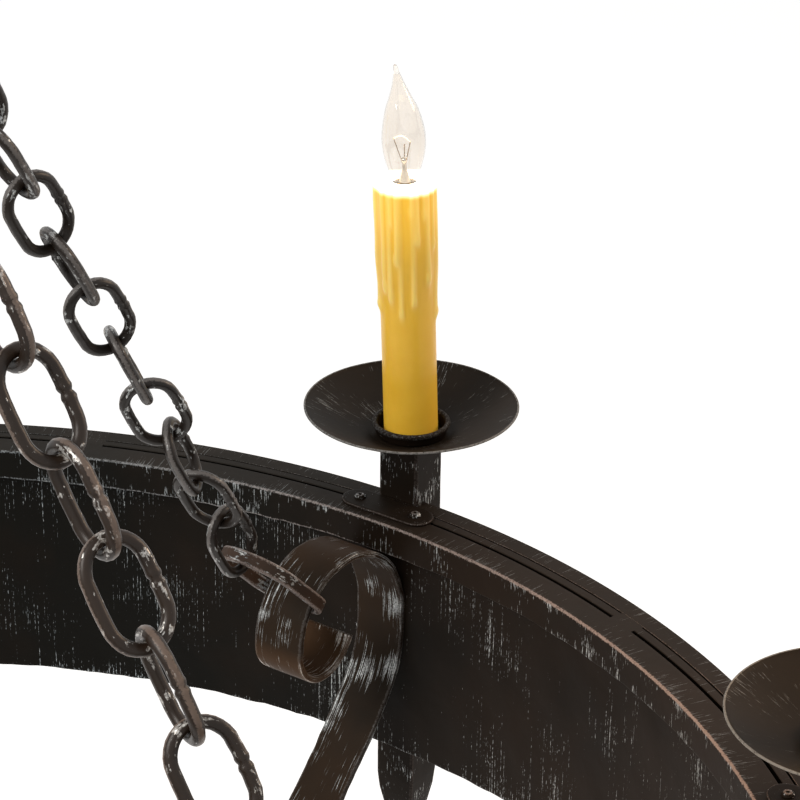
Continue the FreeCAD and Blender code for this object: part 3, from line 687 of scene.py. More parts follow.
def rim_angle():
    """Rolled angle, as radius and height of its outline carried round in angle steps that close up at
    the slot ends; a slot row drops the outline between its two radii to the depth of the plate."""
    inner = rim_outer_radius - rim_plate_width
    t = rim_plate_thickness
    corners = [(inner, 0), (inner, -rim_leg_depth), (inner + t, -rim_leg_depth), (inner + t, -t),
               (rim_outer_radius, -t), (rim_outer_radius, 0)]
    outline, wear = rounded(corners, 0.9, 4.0)
    wear = np.where(outline[:, 0] > rim_outer_radius - 12, 0.3 * wear, wear)
    first = np.argmax(outline[:, 0] - 1e3 * (np.abs(outline[:, 1]) > 0.01))
    outline, wear = np.roll(outline, -first, 0), np.roll(wear, -first)
    extra = []
    for low, high in slot_rows:
        for radius, deep in ((low - 0.5, 0), (low - 0.1, 0), (low + 0.05, slot_lip_share),
                             (low + 0.1, slot_floor_share), (high - 0.1, slot_floor_share),
                             (high - 0.05, slot_lip_share), (high + 0.1, 0), (high + 0.5, 0)):
            # painted highlight and rubbing: the outer edge of the outer slot row gets wear over 1, a light copper
            # line that stands partly for rubbed metal and partly for light on that edge
            lit_rubbed_edge = deep == 0 and abs(radius - high) < 0.2 and high > 595
            extra.append((radius, deep, 1.02 if lit_rubbed_edge else 0.0))
    extra = sorted(extra, reverse=True)
    on_top = (np.abs(outline[:, 1]) < 1e-6) & (outline[:, 0] > inner + 3)
    keep = [k for k in np.where(on_top)[0] if all(abs(outline[k, 0] - e[0]) > 0.45 for e in extra)]
    top = sorted([(outline[k, 0], 0.0, wear[k]) for k in keep] + extra, reverse=True)
    rest = np.where(~on_top)[0]
    profile = np.array(top + [(outline[k, 0], 0.0, wear[k]) for k in rest])
    base_height = np.concatenate([np.zeros(len(top)), outline[rest, 1]])
    ends = []
    for k in range(candle_count):
        for end in (slot_first_angle, slot_last_angle, -post_gap_angle, post_gap_angle):
            ends += [45 * k + end - 0.03, 45 * k + end - 0.004, 45 * k + end + 0.004, 45 * k + end + 0.03]
    ends = (np.array(ends) + 180) % 360 - 180
    angles = np.unique(np.round(np.concatenate([np.arange(-180, 180, 0.75), ends]), 4))
    rows = (profile[:, 0] < 592).astype(int)
    cut = np.where(rows[:, None] == 1, slot_share(angles, 0)[None], slot_share(angles, 1)[None])
    height = base_height[:, None] - profile[:, 1:2] * cut * (t - slot_plate_left)
    radius = np.broadcast_to(profile[:, :1], height.shape).copy()
    turn = np.radians(angles)
    points = np.stack([radius * np.cos(turn), radius * np.sin(turn), height], -1)
    uneven = dents(points, 26, 3) + 0.6 * dents(points, 9, 4)
    low_edge = step(-height, rim_leg_depth - 4, rim_leg_depth) * (radius < inner + t + 1)
    points[..., 2] += 0.45 * uneven * low_edge
    pressed = np.where(radius < inner + 1, 0.35, 0.0) * np.abs(dents(points, 30, 5))
    points[..., 0] += pressed * np.cos(turn)
    points[..., 1] += pressed * np.sin(turn)
    # share towards positive Y: below 12 mm the leg's worn line is halved towards negative Y, from Y 120 mm to Y -320
    # mm
    painted = step(points[..., 1], -320, 120)
    wear = profile[:, 2:3] * (1 - 0.5 * (1 - painted) * (height < -12))
    grid = surface(points, lengths(np.column_stack([profile[:, 0], base_height]), True),
                   np.append(turn, turn[0] + 2 * pi) * 590, wear, (True, True), swap=True)
    return moved(grid, offset=(0, 0, RIM_TOP))


def rim():
    """Rim plate and leg: faces of the leg take the finish that is brushed downwards, and those inside the
    slots are black, as painted shade."""
    grid = rim_angle()
    made = piece("rim_plate", [grid], [plate_iron, lip_iron, slot_shade_iron], "wheel", ["rim_angle"])
    centre = np.zeros(len(made.data.polygons) * 3)
    normal = np.zeros(len(made.data.polygons) * 3)
    made.data.polygons.foreach_get("center", centre)
    made.data.polygons.foreach_get("normal", normal)
    centre, upright = centre.reshape(-1, 3) / MM, np.abs(normal.reshape(-1, 3)[:, 2])
    reach, depth = np.hypot(*centre[:, :2].T), RIM_TOP - centre[:, 2]
    down = (upright < 0.6) & (reach < 572)
    # faces inside the slots, which get the near black of painted shade
    inside = (depth > 0.5) & (depth < rim_plate_thickness - 0.05) & (reach > slot_rows[0][0] - 0.3) & (reach < 597)
    made.data.polygons.foreach_set("material_index", down.astype(int) + 2 * inside)

    outer, top = band_inner_radius + band_thickness, -rim_plate_thickness
    corners = [(band_inner_radius, -band_depth), (outer, -band_depth), (outer, top), (band_inner_radius, top)]
    outline, wear = rounded(corners, 1.0, 9.0)
    band = lathe(outline, 540, wear, closed=True, round_radius=band_inner_radius)
    points = band["points"]
    reach = np.linalg.norm(points[..., :2], axis=2, keepdims=True)
    flat = step(-points[..., 2], rim_leg_depth, rim_leg_depth + 20)
    pressed = 0.5 * (dents(points, 70, 8) + 0.4 * dents(points, 22, 9)) * flat
    outwards = points[..., :2] / reach
    points[..., :2] += outwards * np.minimum(pressed, 0.35)[..., None]
    points[..., 2] += 0.5 * dents(points, 18, 10) * step(-points[..., 2], band_depth - 3, band_depth)
    band["brush"] = band["brush"][..., ::-1]
    piece("rim_hoop", [moved(band, offset=(0, 0, RIM_TOP))], [band_iron], "wheel", ["rim_band"])


# ---------------------------------------------------------------- candles

def post():
    """Square tube: a rounded square drawn in at its forged tail, and its foot with two low screws."""
    half = post_side / 2
    outline, wear = rounded([(-half, -half), (half, -half), (half, half), (-half, half)], 1.6, 7.0)
    drop = post_tail_end - post_tail_start
    share = np.array([1.0, 0.985, 0.96, 0.9, 0.8, 0.7, 0.6, 0.5, 0.4, 0.3, 0.2, 0.1, 0.04, 0.0])
    width = np.interp(share, (0.0, 0.2, 0.5, 0.8, 0.96, 1.0), (1.0, 0.92, 0.68, 0.34, 0.16, 0.07))
    body = np.linspace(-post_tail_start + 8, post_height - 1.2, 34)
    heights = np.concatenate([-post_tail_start - drop * share, body, [post_height - 0.5, post_height - 0.1]])
    widths = np.concatenate([width, np.ones(34), [0.985, 0.955]])
    points = np.concatenate([outline[None] * widths[:, None, None],
                             np.broadcast_to(heights[:, None, None], (len(heights), len(outline), 1))], -1)
    points = points * np.array([0.9985, 0.9985, 1])
    points[..., :2] *= 1 - 0.006 * np.abs(dents(points + 50, 20, 21))[..., None]
    points[..., 0] += candle_radius
    tube = surface(points, heights - heights[0], lengths(outline, True), wear[None])
    centre_x = candle_radius - half - foot_width / 2
    path, _ = stadium((foot_length - foot_width) / 2, foot_width / 2, (0, 1, 0), (1, 0, 0), (centre_x, 0, 0), 12, 5)
    t = foot_thickness
    foot = slab(path[:, :2], [(0.2, 0.05), (0, 0.3), (0, t - 0.8), (0.25, t - 0.25), (0.8, t), (2.5, t), (8, t)],
                [0.2, 0.5, 1, 1, 0.8, 0.4, 0.0], finish=1)
    return [tube, foot]


def screw(side):
    """Low domed head with a dimple in its crown."""
    r, h = foot_screw_radius, foot_screw_height
    x = candle_radius - post_side / 2 - foot_width / 2
    profile = [(0.25, h - 0.9), (0.9, h - 0.7), (1.2, h - 0.1), (2.2, h - 0.1), (3.2, h - 0.5), (r - 0.2, h - 1.3),
               (r, 0.5), (r, 0.0)]
    wear = [0.2, 0.3, 0.9, 1.0, 0.8, 0.7, 0.5, 0.3]
    grid = lathe(profile, 20, wear, centre=(x, side * foot_screw_spacing / 2))
    return moved(grid, offset=(0, 0, foot_thickness))


def pan():
    """Spun dish: a shallow bowl curve from the flat middle to a thin rolled rim, and the same curve back
    underneath one wall thickness lower."""
    low, t = post_height, pan_thickness
    r = np.linspace(pan_flat_radius, pan_radius - 1.6, 18)
    share = (r - pan_flat_radius) / (pan_radius - pan_flat_radius)
    rise = (pan_rim_height - low - t) * (share + 0.06 * np.sin(pi * share) * -1)
    upper = np.column_stack([r, low + t + rise])
    bead_x, bead_z = pan_radius - 0.85, pan_rim_height - 1.0
    turn = np.radians(np.linspace(130, -110, 9))
    bead = np.column_stack([bead_x + 0.8 * np.cos(turn), bead_z + 0.8 * np.sin(turn)])
    lower = np.column_stack([r[::-1], low + rise[::-1] + 0.02])
    profile = np.vstack([[(0.6, low + t), (12, low + t), (24, low + t)], upper, bead, lower, [(24, low), (12, low),
                                                                                            (0.6, low)]])
    wear = np.concatenate([[0, 0, 0], np.exp(-(pan_radius - r) / 3) * 0.8, np.full(9, 1.0),
                           np.exp(-(pan_radius - r[::-1]) / 3) * 0.5, [0, 0, 0]])
    grid = lathe(profile, 96, wear, closed=True, round_radius=52)
    points = grid["points"]
    reach = np.linalg.norm(points[..., :2], axis=2)
    points[..., 2] += 0.3 * dents(points, 60, 31) * step(reach, 30, 60) - 0.25 * step(reach, 30, 60)
    return grid


def cup():
    """Flared cup whose thick edge is rolled over, as a closed outline turned round the candle."""
    low = post_height + pan_thickness + 0.05
    foot, lip, top = cup_radius - cup_flare, cup_radius, low + cup_height
    turn = np.radians(np.linspace(-50, 190, 9))
    bead = np.column_stack([lip - 1.9 + 1.9 * np.cos(turn), top - 1.9 + 1.9 * np.sin(turn)])
    profile = np.vstack([[(foot - 1.2, low), (foot, low + 0.3), (foot + 0.5, low + 2), (foot + 1.4, low + 5)], bead,
                         [(foot - 1.0, low + 5), (foot - 1.6, low + 1.5), (foot - cup_wall, low)]])
    wear = np.concatenate([[0.1, 0.2, 0.2, 0.4], np.full(9, 0.9), [0.2, 0, 0]])
    return lathe(profile, 64, wear, closed=True)


# run: angle from the side that faces the room, height of its end, half width and thickness
wax_runs = (
    (-48, 160, 1.9, 1.5), (-30, 209, 1.5, 1.1), (-18, 182, 1.7, 1.5), (12, 216, 1.5, 1.1), (22, 196, 1.8, 1.6),
    (38, 213, 1.5, 1.1), (46, 166, 2.0, 1.7), (14, 151, 1.7, 1.3), (-34, 153, 1.9, 1.4), (-12, 142, 1.7, 1.1),
    (-84, 143, 5.0, 1.7), (84, 136, 4.5, 1.7), (110, 178, 2.2, 1.5), (135, 150, 2.4, 1.5), (160, 200, 2.0, 1.4),
    (180, 158, 2.4, 1.5), (205, 186, 2.0, 1.4), (228, 146, 2.4, 1.4), (255, 170, 2.2, 1.4), (62, 190, 1.9, 1.4),
)


def sleeve(turn):
    """Candle tube: radius is the plain tube, plus a wax coat above an uneven line, plus for each run a
    rounded ridge that ends in a fuller drop; the wall closes over the top to a mouth just wider than the
    lamp's neck, and goes down the bore."""
    low = post_height + pan_thickness + 0.05
    heights = np.concatenate([[low, low + 0.3, low + 1.0], np.linspace(low + 4, sleeve_top - 3, 86),
                              sleeve_top - np.array([1.6, 0.7, 0.15])])
    angles = np.linspace(0, 2 * pi, 96, endpoint=False)
    z, phi = np.meshgrid(heights, angles, indexing="ij")
    spot = np.stack([40 * np.cos(phi), 40 * np.sin(phi), z], -1)
    line = 152 + 9 * dents(spot * [1, 1, 0], 22, 41)
    coat = step(z, line, line + 30)
    wide = sleeve_wax_radius - 1.7 - sleeve_radius
    radius = sleeve_radius + wide * coat + 0.3 * dents(spot * [1, 1, 0.5], 20, 42) * coat
    ridge = np.zeros_like(radius)
    for angle, end, width, thick in wax_runs:
        side = (np.degrees(phi) - turn - angle + 180) % 360 - 180
        side = np.radians(side) * sleeve_wax_radius
        stem = np.exp(-(side / width) ** 4) * step(z, end, end + 6) * (0.6 + 0.4 * step(end + 45 - z, 0, 40))
        drop = np.exp(-(side / (width * 1.25)) ** 4 - ((z - end - 6) / 5) ** 2)
        ridge = np.maximum(ridge, thick * np.maximum(stem, 1.25 * drop))
    radius = np.minimum(radius + ridge, sleeve_wax_radius + 0.1)
    radius[0] -= 0.7
    radius[1] -= 0.2
    radius[-3] -= 0.3
    radius[-2] -= 0.9
    radius[-1] -= 2.0
    mouth, bore = sleeve_mouth_radius, sleeve_bore_radius
    inner = ((mouth + 2.5, sleeve_top), (mouth + 0.3, sleeve_top - 0.3), (mouth, sleeve_top - 1.0),
             (mouth, sleeve_mouth_height), (bore, sleeve_mouth_height), (bore, low))
    inner = np.array(inner)[:, :, None] * np.ones(len(angles))
    radius, z = np.vstack([radius, inner[:, 0]]), np.vstack([z, inner[:, 1]])
    phi = np.vstack([phi, phi[:len(inner)]])
    points = np.stack([radius * np.cos(phi), radius * np.sin(phi), z], -1)
    wear = np.vstack([np.clip(ridge, 0, 1), np.zeros((len(inner), len(angles)))])
    return surface(points, np.arange(len(z) + 1) * 2.4, np.linspace(0, 120, 97), wear, (True, True))


def socket():
    """Turned outline of the lamp socket, from the middle of its foot over its top and down its bore."""
    r, bore, top = socket_radius, socket_bore_radius, socket_top
    corners = [(1.0, socket_bottom), (r, socket_bottom), (r, top), (bore, top), (bore, socket_bore_floor),
               (1.0, socket_bore_floor)]
    return soft_lathe(corners, 0.5, 32)


def leaned(grid, way_angle, lean):
    """The grid turned by lean degrees towards way_angle about the floor of the cup, and lifted by as much
    as its edge would sink, as a loose sleeve stands on the edge that it leans over."""
    c, s = cos(radians(lean)), sin(radians(lean))
    way = np.array([cos(radians(way_angle)), sin(radians(way_angle)), 0])
    floor = post_height + pan_thickness
    points = grid["points"]
    out, up = points @ way, points[..., 2] - floor
    made = dict(grid)
    made["points"] = points + way * (out * (c - 1) + up * s)[..., None]
    made["points"][..., 2] = floor + up * c - out * s + sleeve_radius * s
    return made


def bulb(bend_angle):
    """Flame lamp: glass drawn from a narrow neck to a belly and a bent tip, as an outer and an inner
    skin, with its brass shell, pressed stem, support wires and filament inside."""
    shape = eased([(6.3, -31), (7.4, -27), (10.4, -20), (13.5, -10), (14.9, 0), (14.3, 10), (11.5, 23), (7.9, 32),
                   (4.5, 41), (2.2, 49), (1.3, 53.6), (0.5, 54.9)], 5)
    way = np.array([cos(radians(bend_angle)), sin(radians(bend_angle)), 0])
    skins = []
    for inset, inward in ((0.0, False), (glass_wall, True)):
        profile = shape.copy()
        profile[:, 0] = np.maximum(profile[:, 0] - inset, 0.12)
        if inward:
            profile = profile[profile[:, 1] < 50]
        grid = lathe(profile, 40, 0.0, inward=inward)
        share = np.clip(grid["points"][..., 2:] / (bulb_tip_height - bulb_belly_height), 0, 1)
        grid["points"] = grid["points"] + way * bulb_tip_bend * share ** 2 + [0, 0, bulb_belly_height]
        skins.append(grid)
    r, low, neck = bulb_base_radius, bulb_base_bottom, 234.0
    z = np.linspace(low + 3.5, neck, 46)
    phi = np.linspace(0, 2 * pi, 28, endpoint=False)
    zz, pp = np.meshgrid(z, phi, indexing="ij")
    fade = step(zz, low + 3.5, low + 5) * step(neck - zz, 0, 2)
    rr = r - 0.45 + 0.4 * fade * np.cos(2 * pi * zz / thread_pitch - pp)
    shell = surface(np.stack([rr * np.cos(pp), rr * np.sin(pp), zz], -1), z, np.linspace(0, 38, 29), 0.3)
    button = lathe([(1.2, low), (2.2, low + 0.3), (2.5, low + 1.5), (4.6, low + 2.6), (5.4, low + 3.6)], 20)
    stem = lathe(eased([(4.2, 236), (3.0, 240), (1.7, 245), (1.5, 250), (2.2, 252), (1.6, 253.4), (0.5, 254)], 3), 16,
                 finish=1)
    wires = []
    for k, (spread, rise) in enumerate(((7.0, 268.0), (5.6, 266.0), (3.4, 262.0))):
        a = radians(bend_angle + 15 + 125 * k)
        foot_at = np.array([1.0 * cos(a), 1.0 * sin(a), 249.0])
        head_at = np.array([spread * cos(a), spread * sin(a), rise])
        line = foot_at + np.linspace(0, 1, 6)[:, None] * (head_at - foot_at)
        side = np.tile([-sin(a), cos(a), 0], (6, 1))
        way = line[1] - line[0]
        normal = np.cross(side, way) / np.linalg.norm(way)
        wires.append(swept(disc(0.3, 6), 0.0, line, side, normal, False, finish=2))
    a0, a1 = radians(bend_angle + 15), radians(bend_angle + 140)
    s = np.linspace(0, 1, 140)
    start, end = np.array([7.0 * cos(a0), 7.0 * sin(a0), 268.0]), np.array([5.6 * cos(a1), 5.6 * sin(a1), 266.0])
    line = start + s[:, None] * (end - start) + np.array([0, 0, 1]) * (3 * np.sin(pi * s))[:, None]
    coil = np.stack([0.35 * np.cos(s * 90), 0.35 * np.sin(s * 90), 0.35 * np.sin(s * 90)], -1)
    line = line + coil
    up = np.tile([0.0, 0.0, 1.0], (140, 1))
    level = np.tile([-sin(a0), cos(a0), 0.0], (140, 1))
    coil_wire = swept(disc(0.16, 5), 0.0, line, up, level, False, finish=3)
    return skins, [shell, button, stem] + wires + [coil_wire]


def candles():
    """Eight candles: every group of like parts is one piece, and each post and lamp its own."""
    pans, cups, sleeves, sockets, screws = [], [], [], [], []
    pan_grid, cup_grid, post_grids, socket_grid = pan(), cup(), post(), socket()
    for k in range(candle_count):
        angle = 360.0 / candle_count * k
        here = (candle_radius, 0, RIM_TOP)
        pans.append(moved(pan_grid, angle, here, 10 * k))
        cups.append(moved(cup_grid, angle, here, 10 * k))
        lean = (bulb_bend_angle + bulb_bend_step * k - angle, candle_leans[k])
        sleeves.append(moved(leaned(sleeve(sleeve_turn - sleeve_turn_step * k), *lean), angle, here))
        sockets.append(moved(leaned(socket_grid, *lean), angle, here))
        screws += [moved(screw(side), angle, (0, 0, RIM_TOP), 10 * k + side) for side in (-1, 1)]
        grids = [moved(grid, angle, (0, 0, RIM_TOP), 10 * k) for grid in post_grids]
        piece("post_%d" % (k + 1), grids, [post_iron, foot_iron], "wheel",
              ["candle_post_%d" % (k + 1)])
        skins, inside = bulb(lean[0])
        body, node = "bulb_%d" % (k + 1), "bulb_%d" % (k + 1)
        skins = [moved(leaned(grid, *lean), angle, here) for grid in skins]
        inside = [moved(leaned(grid, *lean), angle, here) for grid in inside]
        piece("lamp_glass_%d" % (k + 1), skins, [glass], body, [node])
        piece("lamp_inside_%d" % (k + 1), inside, [brass, stem_glass, support_wire, filament], body,
              [node])
    piece("pans", pans, [pan_iron], "wheel", ["drip_pans"])
    piece("cups", cups, [cup_iron], "wheel", ["candle_cups"])
    piece("sleeves", sleeves, [resin], "wheel", ["candle_sleeves"])
    piece("sockets", sockets, [socket_black], "wheel", ["lamp_sockets"])
    piece("screws", screws, [screw_iron], "wheel", ["foot_screws"])


# ---------------------------------------------------------------- straps and rings

def strap_path():
    """Middle line of the strap: a straight run, then arcs tangent to each other, each point being the
    arc's start plus radius times the change in the sine and cosine of the heading."""
    x = strap_x - strap_elbow_radius + (strap_elbow_radius - strap_sweep_radius) * sin(radians(strap_sweep_angle))
    place = np.array([x, hub_height])
    runs = [np.column_stack([np.linspace(strap_inner_end, x, 36)[:-1], np.full(35, hub_height)])]
    headings = [np.zeros(35)]
    heading = 0.0
    curves = [(strap_sweep_radius, strap_sweep_angle), (strap_elbow_radius, 90 - strap_sweep_angle), None]
    for curve in curves + list(zip(roll_radii, roll_angles)):
        if curve is None:
            line = place + np.linspace(0, roll_start_height - strap_elbow_height, 4)[:-1, None] * [0, 1]
            runs.append(line)
            headings.append(np.full(3, heading))
            place = place + [0, roll_start_height - strap_elbow_height]
            continue
        radius, angle = curve
        steps = max(int(radius * radians(angle) / 4), 14)
        way = heading + np.linspace(0, radians(angle), steps + 1)
        arc = place + radius * np.column_stack([np.sin(way) - sin(heading), cos(heading) - np.cos(way)])
        runs.append(arc[:-1])
        headings.append(way[:-1])
        place, heading = arc[-1], way[-1]
    runs.append(place[None])
    headings.append([heading])
    line, way = np.vstack(runs), np.concatenate(headings)
    path = np.column_stack([line[:, 0], 0 * way, line[:, 1]])
    return path, np.column_stack([-np.sin(way), 0 * way, np.cos(way)])


def strap():
    """Forged strap: its rounded section swept along the path, with edges that wander by half a millimetre.
    The last stretch was heated longest, so it is brown from browned_full_length before its end."""
    a, b = strap_thickness / 2, strap_width / 2
    outline, wear = rounded([(-a, -b), (a, -b), (a, b), (-a, b)], 1.1, 5.0)
    path, inward = strap_path()
    sideways = np.tile([0.0, 1.0, 0.0], (len(path), 1))
    along = lengths(path, False)
    browned = step(along, along[-1] - browned_length, along[-1] - browned_full_length)[:, None]
    grid = swept(outline, wear[None], path, inward, sideways, False, warm=browned)
    points = grid["points"]
    uneven = 0.45 * dents(points, 34, 51) + 0.25 * dents(points, 11, 52) - 0.3
    points[..., 1] += uneven * points[..., 1] / b
    points += (0.14 * dents(points, 30, 53))[..., None] * inward[:, None]
    return moved(grid, offset=(0, 0, RIM_TOP))


def ring():
    """Oval ring of flat bar, swept along its stadium."""
    a, b = ring_bar_thickness / 2, ring_bar_height / 2
    outline, wear = rounded([(-a, -b), (a, -b), (a, b), (-a, b)], 1.2, 3.0)
    across = np.array([0.0, 1.0, 0.0])
    path, inward = stadium(ring_length / 2 - ring_end_radius, ring_end_radius, ring_way, across,
                           (ring_foot + ring_head) / 2, 26, 9)
    normal = np.tile(np.cross(ring_way, across), (len(path), 1))
    grid = swept(outline, wear[None], path, inward, normal, True)
    grid["points"] += (0.18 * dents(grid["points"], 18, 61))[..., None] * inward[:, None]
    return moved(grid, offset=(0, 0, RIM_TOP))


# ---------------------------------------------------------------- chains and hanger

def link(along, across, centre, seed):
    """Chain link: a round bar swept along a stadium whose sides bow out by a parabola, a little uneven, with
    a butt weld half way down one side: two swellings and a groove between them, each a bell curve."""
    radius = link_inner_width / 2 + link_wire_radius
    half = link_inner_length / 2 + link_wire_radius - radius
    path, inward = stadium(half, radius, along, across, centre, 14, 19)
    local, side = (path - centre) @ np.array(along), (path - centre) @ np.array(across)
    bow = link_bow * side / radius * np.clip(1 - (local / (half + 7)) ** 2, 0, 1)
    path = path + bow[:, None] * across
    normal = np.tile(np.cross(along, across), (len(path), 1))
    section = disc(link_wire_radius, 14)
    # painted sheen: wear that grows towards the outer side of the bar turns it copper there, standing for warm light
    # along the links' outer sides
    outer_side_sheen = np.clip(-section[:, 0] / link_wire_radius, 0, 1) ** 2
    grid = swept(section, 1.15 * outer_side_sheen, path, inward, normal, True)
    offset = grid["points"] - path[:, None]
    weld = 0.12 * np.exp(-((np.abs(local) - 2.6) / 1.3) ** 2) - 0.16 * np.exp(-(local / 0.9) ** 2)
    swell = 1 + (weld * (side > 0))[:, None] + 0.03 * dents(grid["points"], 9, seed)
    grid["points"] = path[:, None] + offset * swell[..., None]
    return grid


def twist_of(k):
    """Turn of link k about the chain in radians: a quarter turn every second link, plus a twist that
    dies away as exp(-k / chain_twist_links) towards the spreader."""
    share = (1 - exp(-k / chain_twist_links)) / (1 - exp(-(links_per_chain - 1) / chain_twist_links))
    return radians(chain_twist * share + 90 * (k % 2))


def chain(seed):
    """Links up a straight leaning line, each a quarter turn from the last less a slow twist."""
    up = np.array([-sin(chain_lean), 0, cos(chain_lean)])
    out = np.array([cos(chain_lean), 0, sin(chain_lean)])
    start = ring_head + up * first_link_rise + [0, 0, RIM_TOP]
    links = []
    for k in range(links_per_chain):
        across = out * cos(twist_of(k)) + np.array([0, -1.0, 0]) * sin(twist_of(k))
        links.append(link(up, across, start + up * link_pitch * k, seed + k))
    return [moved(grid, shift=13.0 * k) for k, grid in enumerate(links)]


def torus(centre_height):
    """Round eye of round bar in the XZ plane."""
    t = np.arange(48) * 2 * pi / 48
    inward = np.column_stack([-np.sin(t), 0 * t, -np.cos(t)])
    path = np.array([0, 0, centre_height]) - inward * eye_radius
    return swept(disc(eye_wire_radius, 16), 0.0, path, inward, np.tile([0.0, 1.0, 0.0], (48, 1)), True)


def spreader():
    """Four quarters of a round plate, each a grid spread from its chain hole to its border and carried
    over the top, down the border, under and back up the hole."""
    side = 18
    s = np.linspace(0, 1, side, endpoint=False)
    inner, outer = 5.5, spreader_radius - 0.6
    a0, a1 = -pi / 4, pi / 4
    leg = inner + s * (outer - inner)
    turn = a0 + s * (a1 - a0)
    border = np.concatenate([
        np.column_stack([leg * cos(a0), leg * sin(a0)]), outer * np.column_stack([np.cos(turn), np.sin(turn)]),
        np.column_stack([(outer + inner - leg) * cos(a1), (outer + inner - leg) * sin(a1)]),
        inner * np.column_stack([np.cos(-turn), np.sin(-turn)])])
    middle = np.array([web_radius - spreader_hole_inset, 0])
    way = border - middle
    hole = middle + way / np.linalg.norm(way, axis=1, keepdims=True) * spreader_hole_radius
    top, low = spreader_top, spreader_top - spreader_thickness
    rings = [(0.0, low + 0.7), (0.02, low + 0.1), (0.06, low), (0.5, low), (0.97, low), (1.0, low + 0.5),
             (1.0, top - 0.5), (0.97, top), (0.5, top), (0.06, top), (0.02, top - 0.1), (0.0, top - 0.7)]
    points = np.array([np.column_stack([hole + (border - hole) * t, np.full(len(border), z)]) for t, z in rings])
    wear = np.array([0.6, 1, 0.7, 0, 0.3, 0.6, 0.6, 0.3, 0, 0.7, 1, 0.6])[:, None]
    quarter = surface(points, np.arange(13) * 6.0, lengths(border, True), wear, (True, True), swap=True)
    r = spreader_radius
    edge = lathe([(r - 1.2, low + 0.02), (r - 0.3, low + 0.3), (r, low + 1.2), (r, top - 1.2),
                  (r - 0.3, top - 0.3), (r - 1.2, top - 0.02)], 96, [0.8, 1, 1, 1, 1, 0.8], closed=True)
    return [moved(quarter, 90.0 * k, shift=11.0 * k) for k in range(4)] + [edge]


def soft_lathe(corners, radius, steps=48, closed=False, **more):
    """Turned piece whose outline has every corner rounded off."""
    profile, wear = rounded(corners, radius, 6.0, closed)
    return lathe(profile, steps, wear, closed=closed, **more)


def hanger():
    """Everything between the ceiling and the chains: canopy dome as two eased curves joined at its rim and
    its hole, collar, barrel with its loop, swing link, eye bolt and spreader plate."""
    r, d, t = canopy_radius, canopy_depth, canopy_wall
    outside = eased([(r - 0.05, -0.1), (r - 0.05, -5), (r - 5.5, -9.5), (r - 16, -26), (r - 30, -d + 5.6),
                     (r - 42, -d + 0.1), (canopy_hole_radius + 5, -d), (canopy_hole_radius, -d)], 7)
    inside = eased([(canopy_hole_radius, t - d), (canopy_hole_radius + 5, t - d), (r - 42.4, t - d + 0.1),
                    (r - 31, t - d + 5.8), (r - 17.6, t - 26), (r - 7.6, t - 9), (r - t, -4), (r - t, -0.1)], 7)
    profile = np.vstack([outside, inside])
    profile[:, 0] = np.minimum(profile[:, 0], r)
    profile[:, 1] = np.clip(profile[:, 1], -d, 0)
    wear = np.exp(-np.abs(profile[:, 1]) / 2) * 0.9
    piece("canopy_dome", [lathe(profile, 96, wear, closed=True, round_radius=50)], [pan_iron], "canopy",
          ["canopy"])
    low = -d - collar_height
    collar = soft_lathe([(barrel_radius + 0.5, low), (collar_radius - 2, low), (collar_radius, low + 2),
                         (collar_radius, -d - 0.02), (barrel_radius + 0.5, -d - 0.02)], 0.8, closed=True)
    piece("collar_ring", [collar], [turned_iron], "collar", ["collar_nut"])

    loop_centre = loop_bar_height + eye_radius
    foot = loop_centre + eye_radius
    barrel = soft_lathe([(3.0, foot - 3.5), (8.5, foot - 2.5), (barrel_radius, foot + 2), (barrel_radius, barrel_top),
                         (2.0, barrel_top)], 0.8)
    piece("loop", [torus(loop_centre), barrel], [turned_iron], "ceiling", ["canopy_loop"])
    swing = link(np.array([0, 0, 1.0]), np.array([0, 1.0, 0]), np.array([0, 0, swing_link_centre]), 77)
    piece("swing", [swing], [chain_iron], "swing_link", ["swing_link"])

    top = spreader_top
    collar_top = eye_centre - eye_radius
    shank = soft_lathe([(1.0, top - eye_shank_length), (eye_shank_radius, top - eye_shank_length),
                        (eye_shank_radius, top + 0.1), (eye_collar_radius, top + 0.1), (eye_collar_radius, top + 4.5),
                        (7.0, collar_top - 0.5), (3.0, collar_top + 2.5)], 0.6)
    piece("eye", [torus(eye_centre), shank], [turned_iron], "wheel", ["eye_bolt"])
    piece("spreader", spreader(), [turned_iron], "wheel", ["spreader_plate"])


# ---------------------------------------------------------------- hub

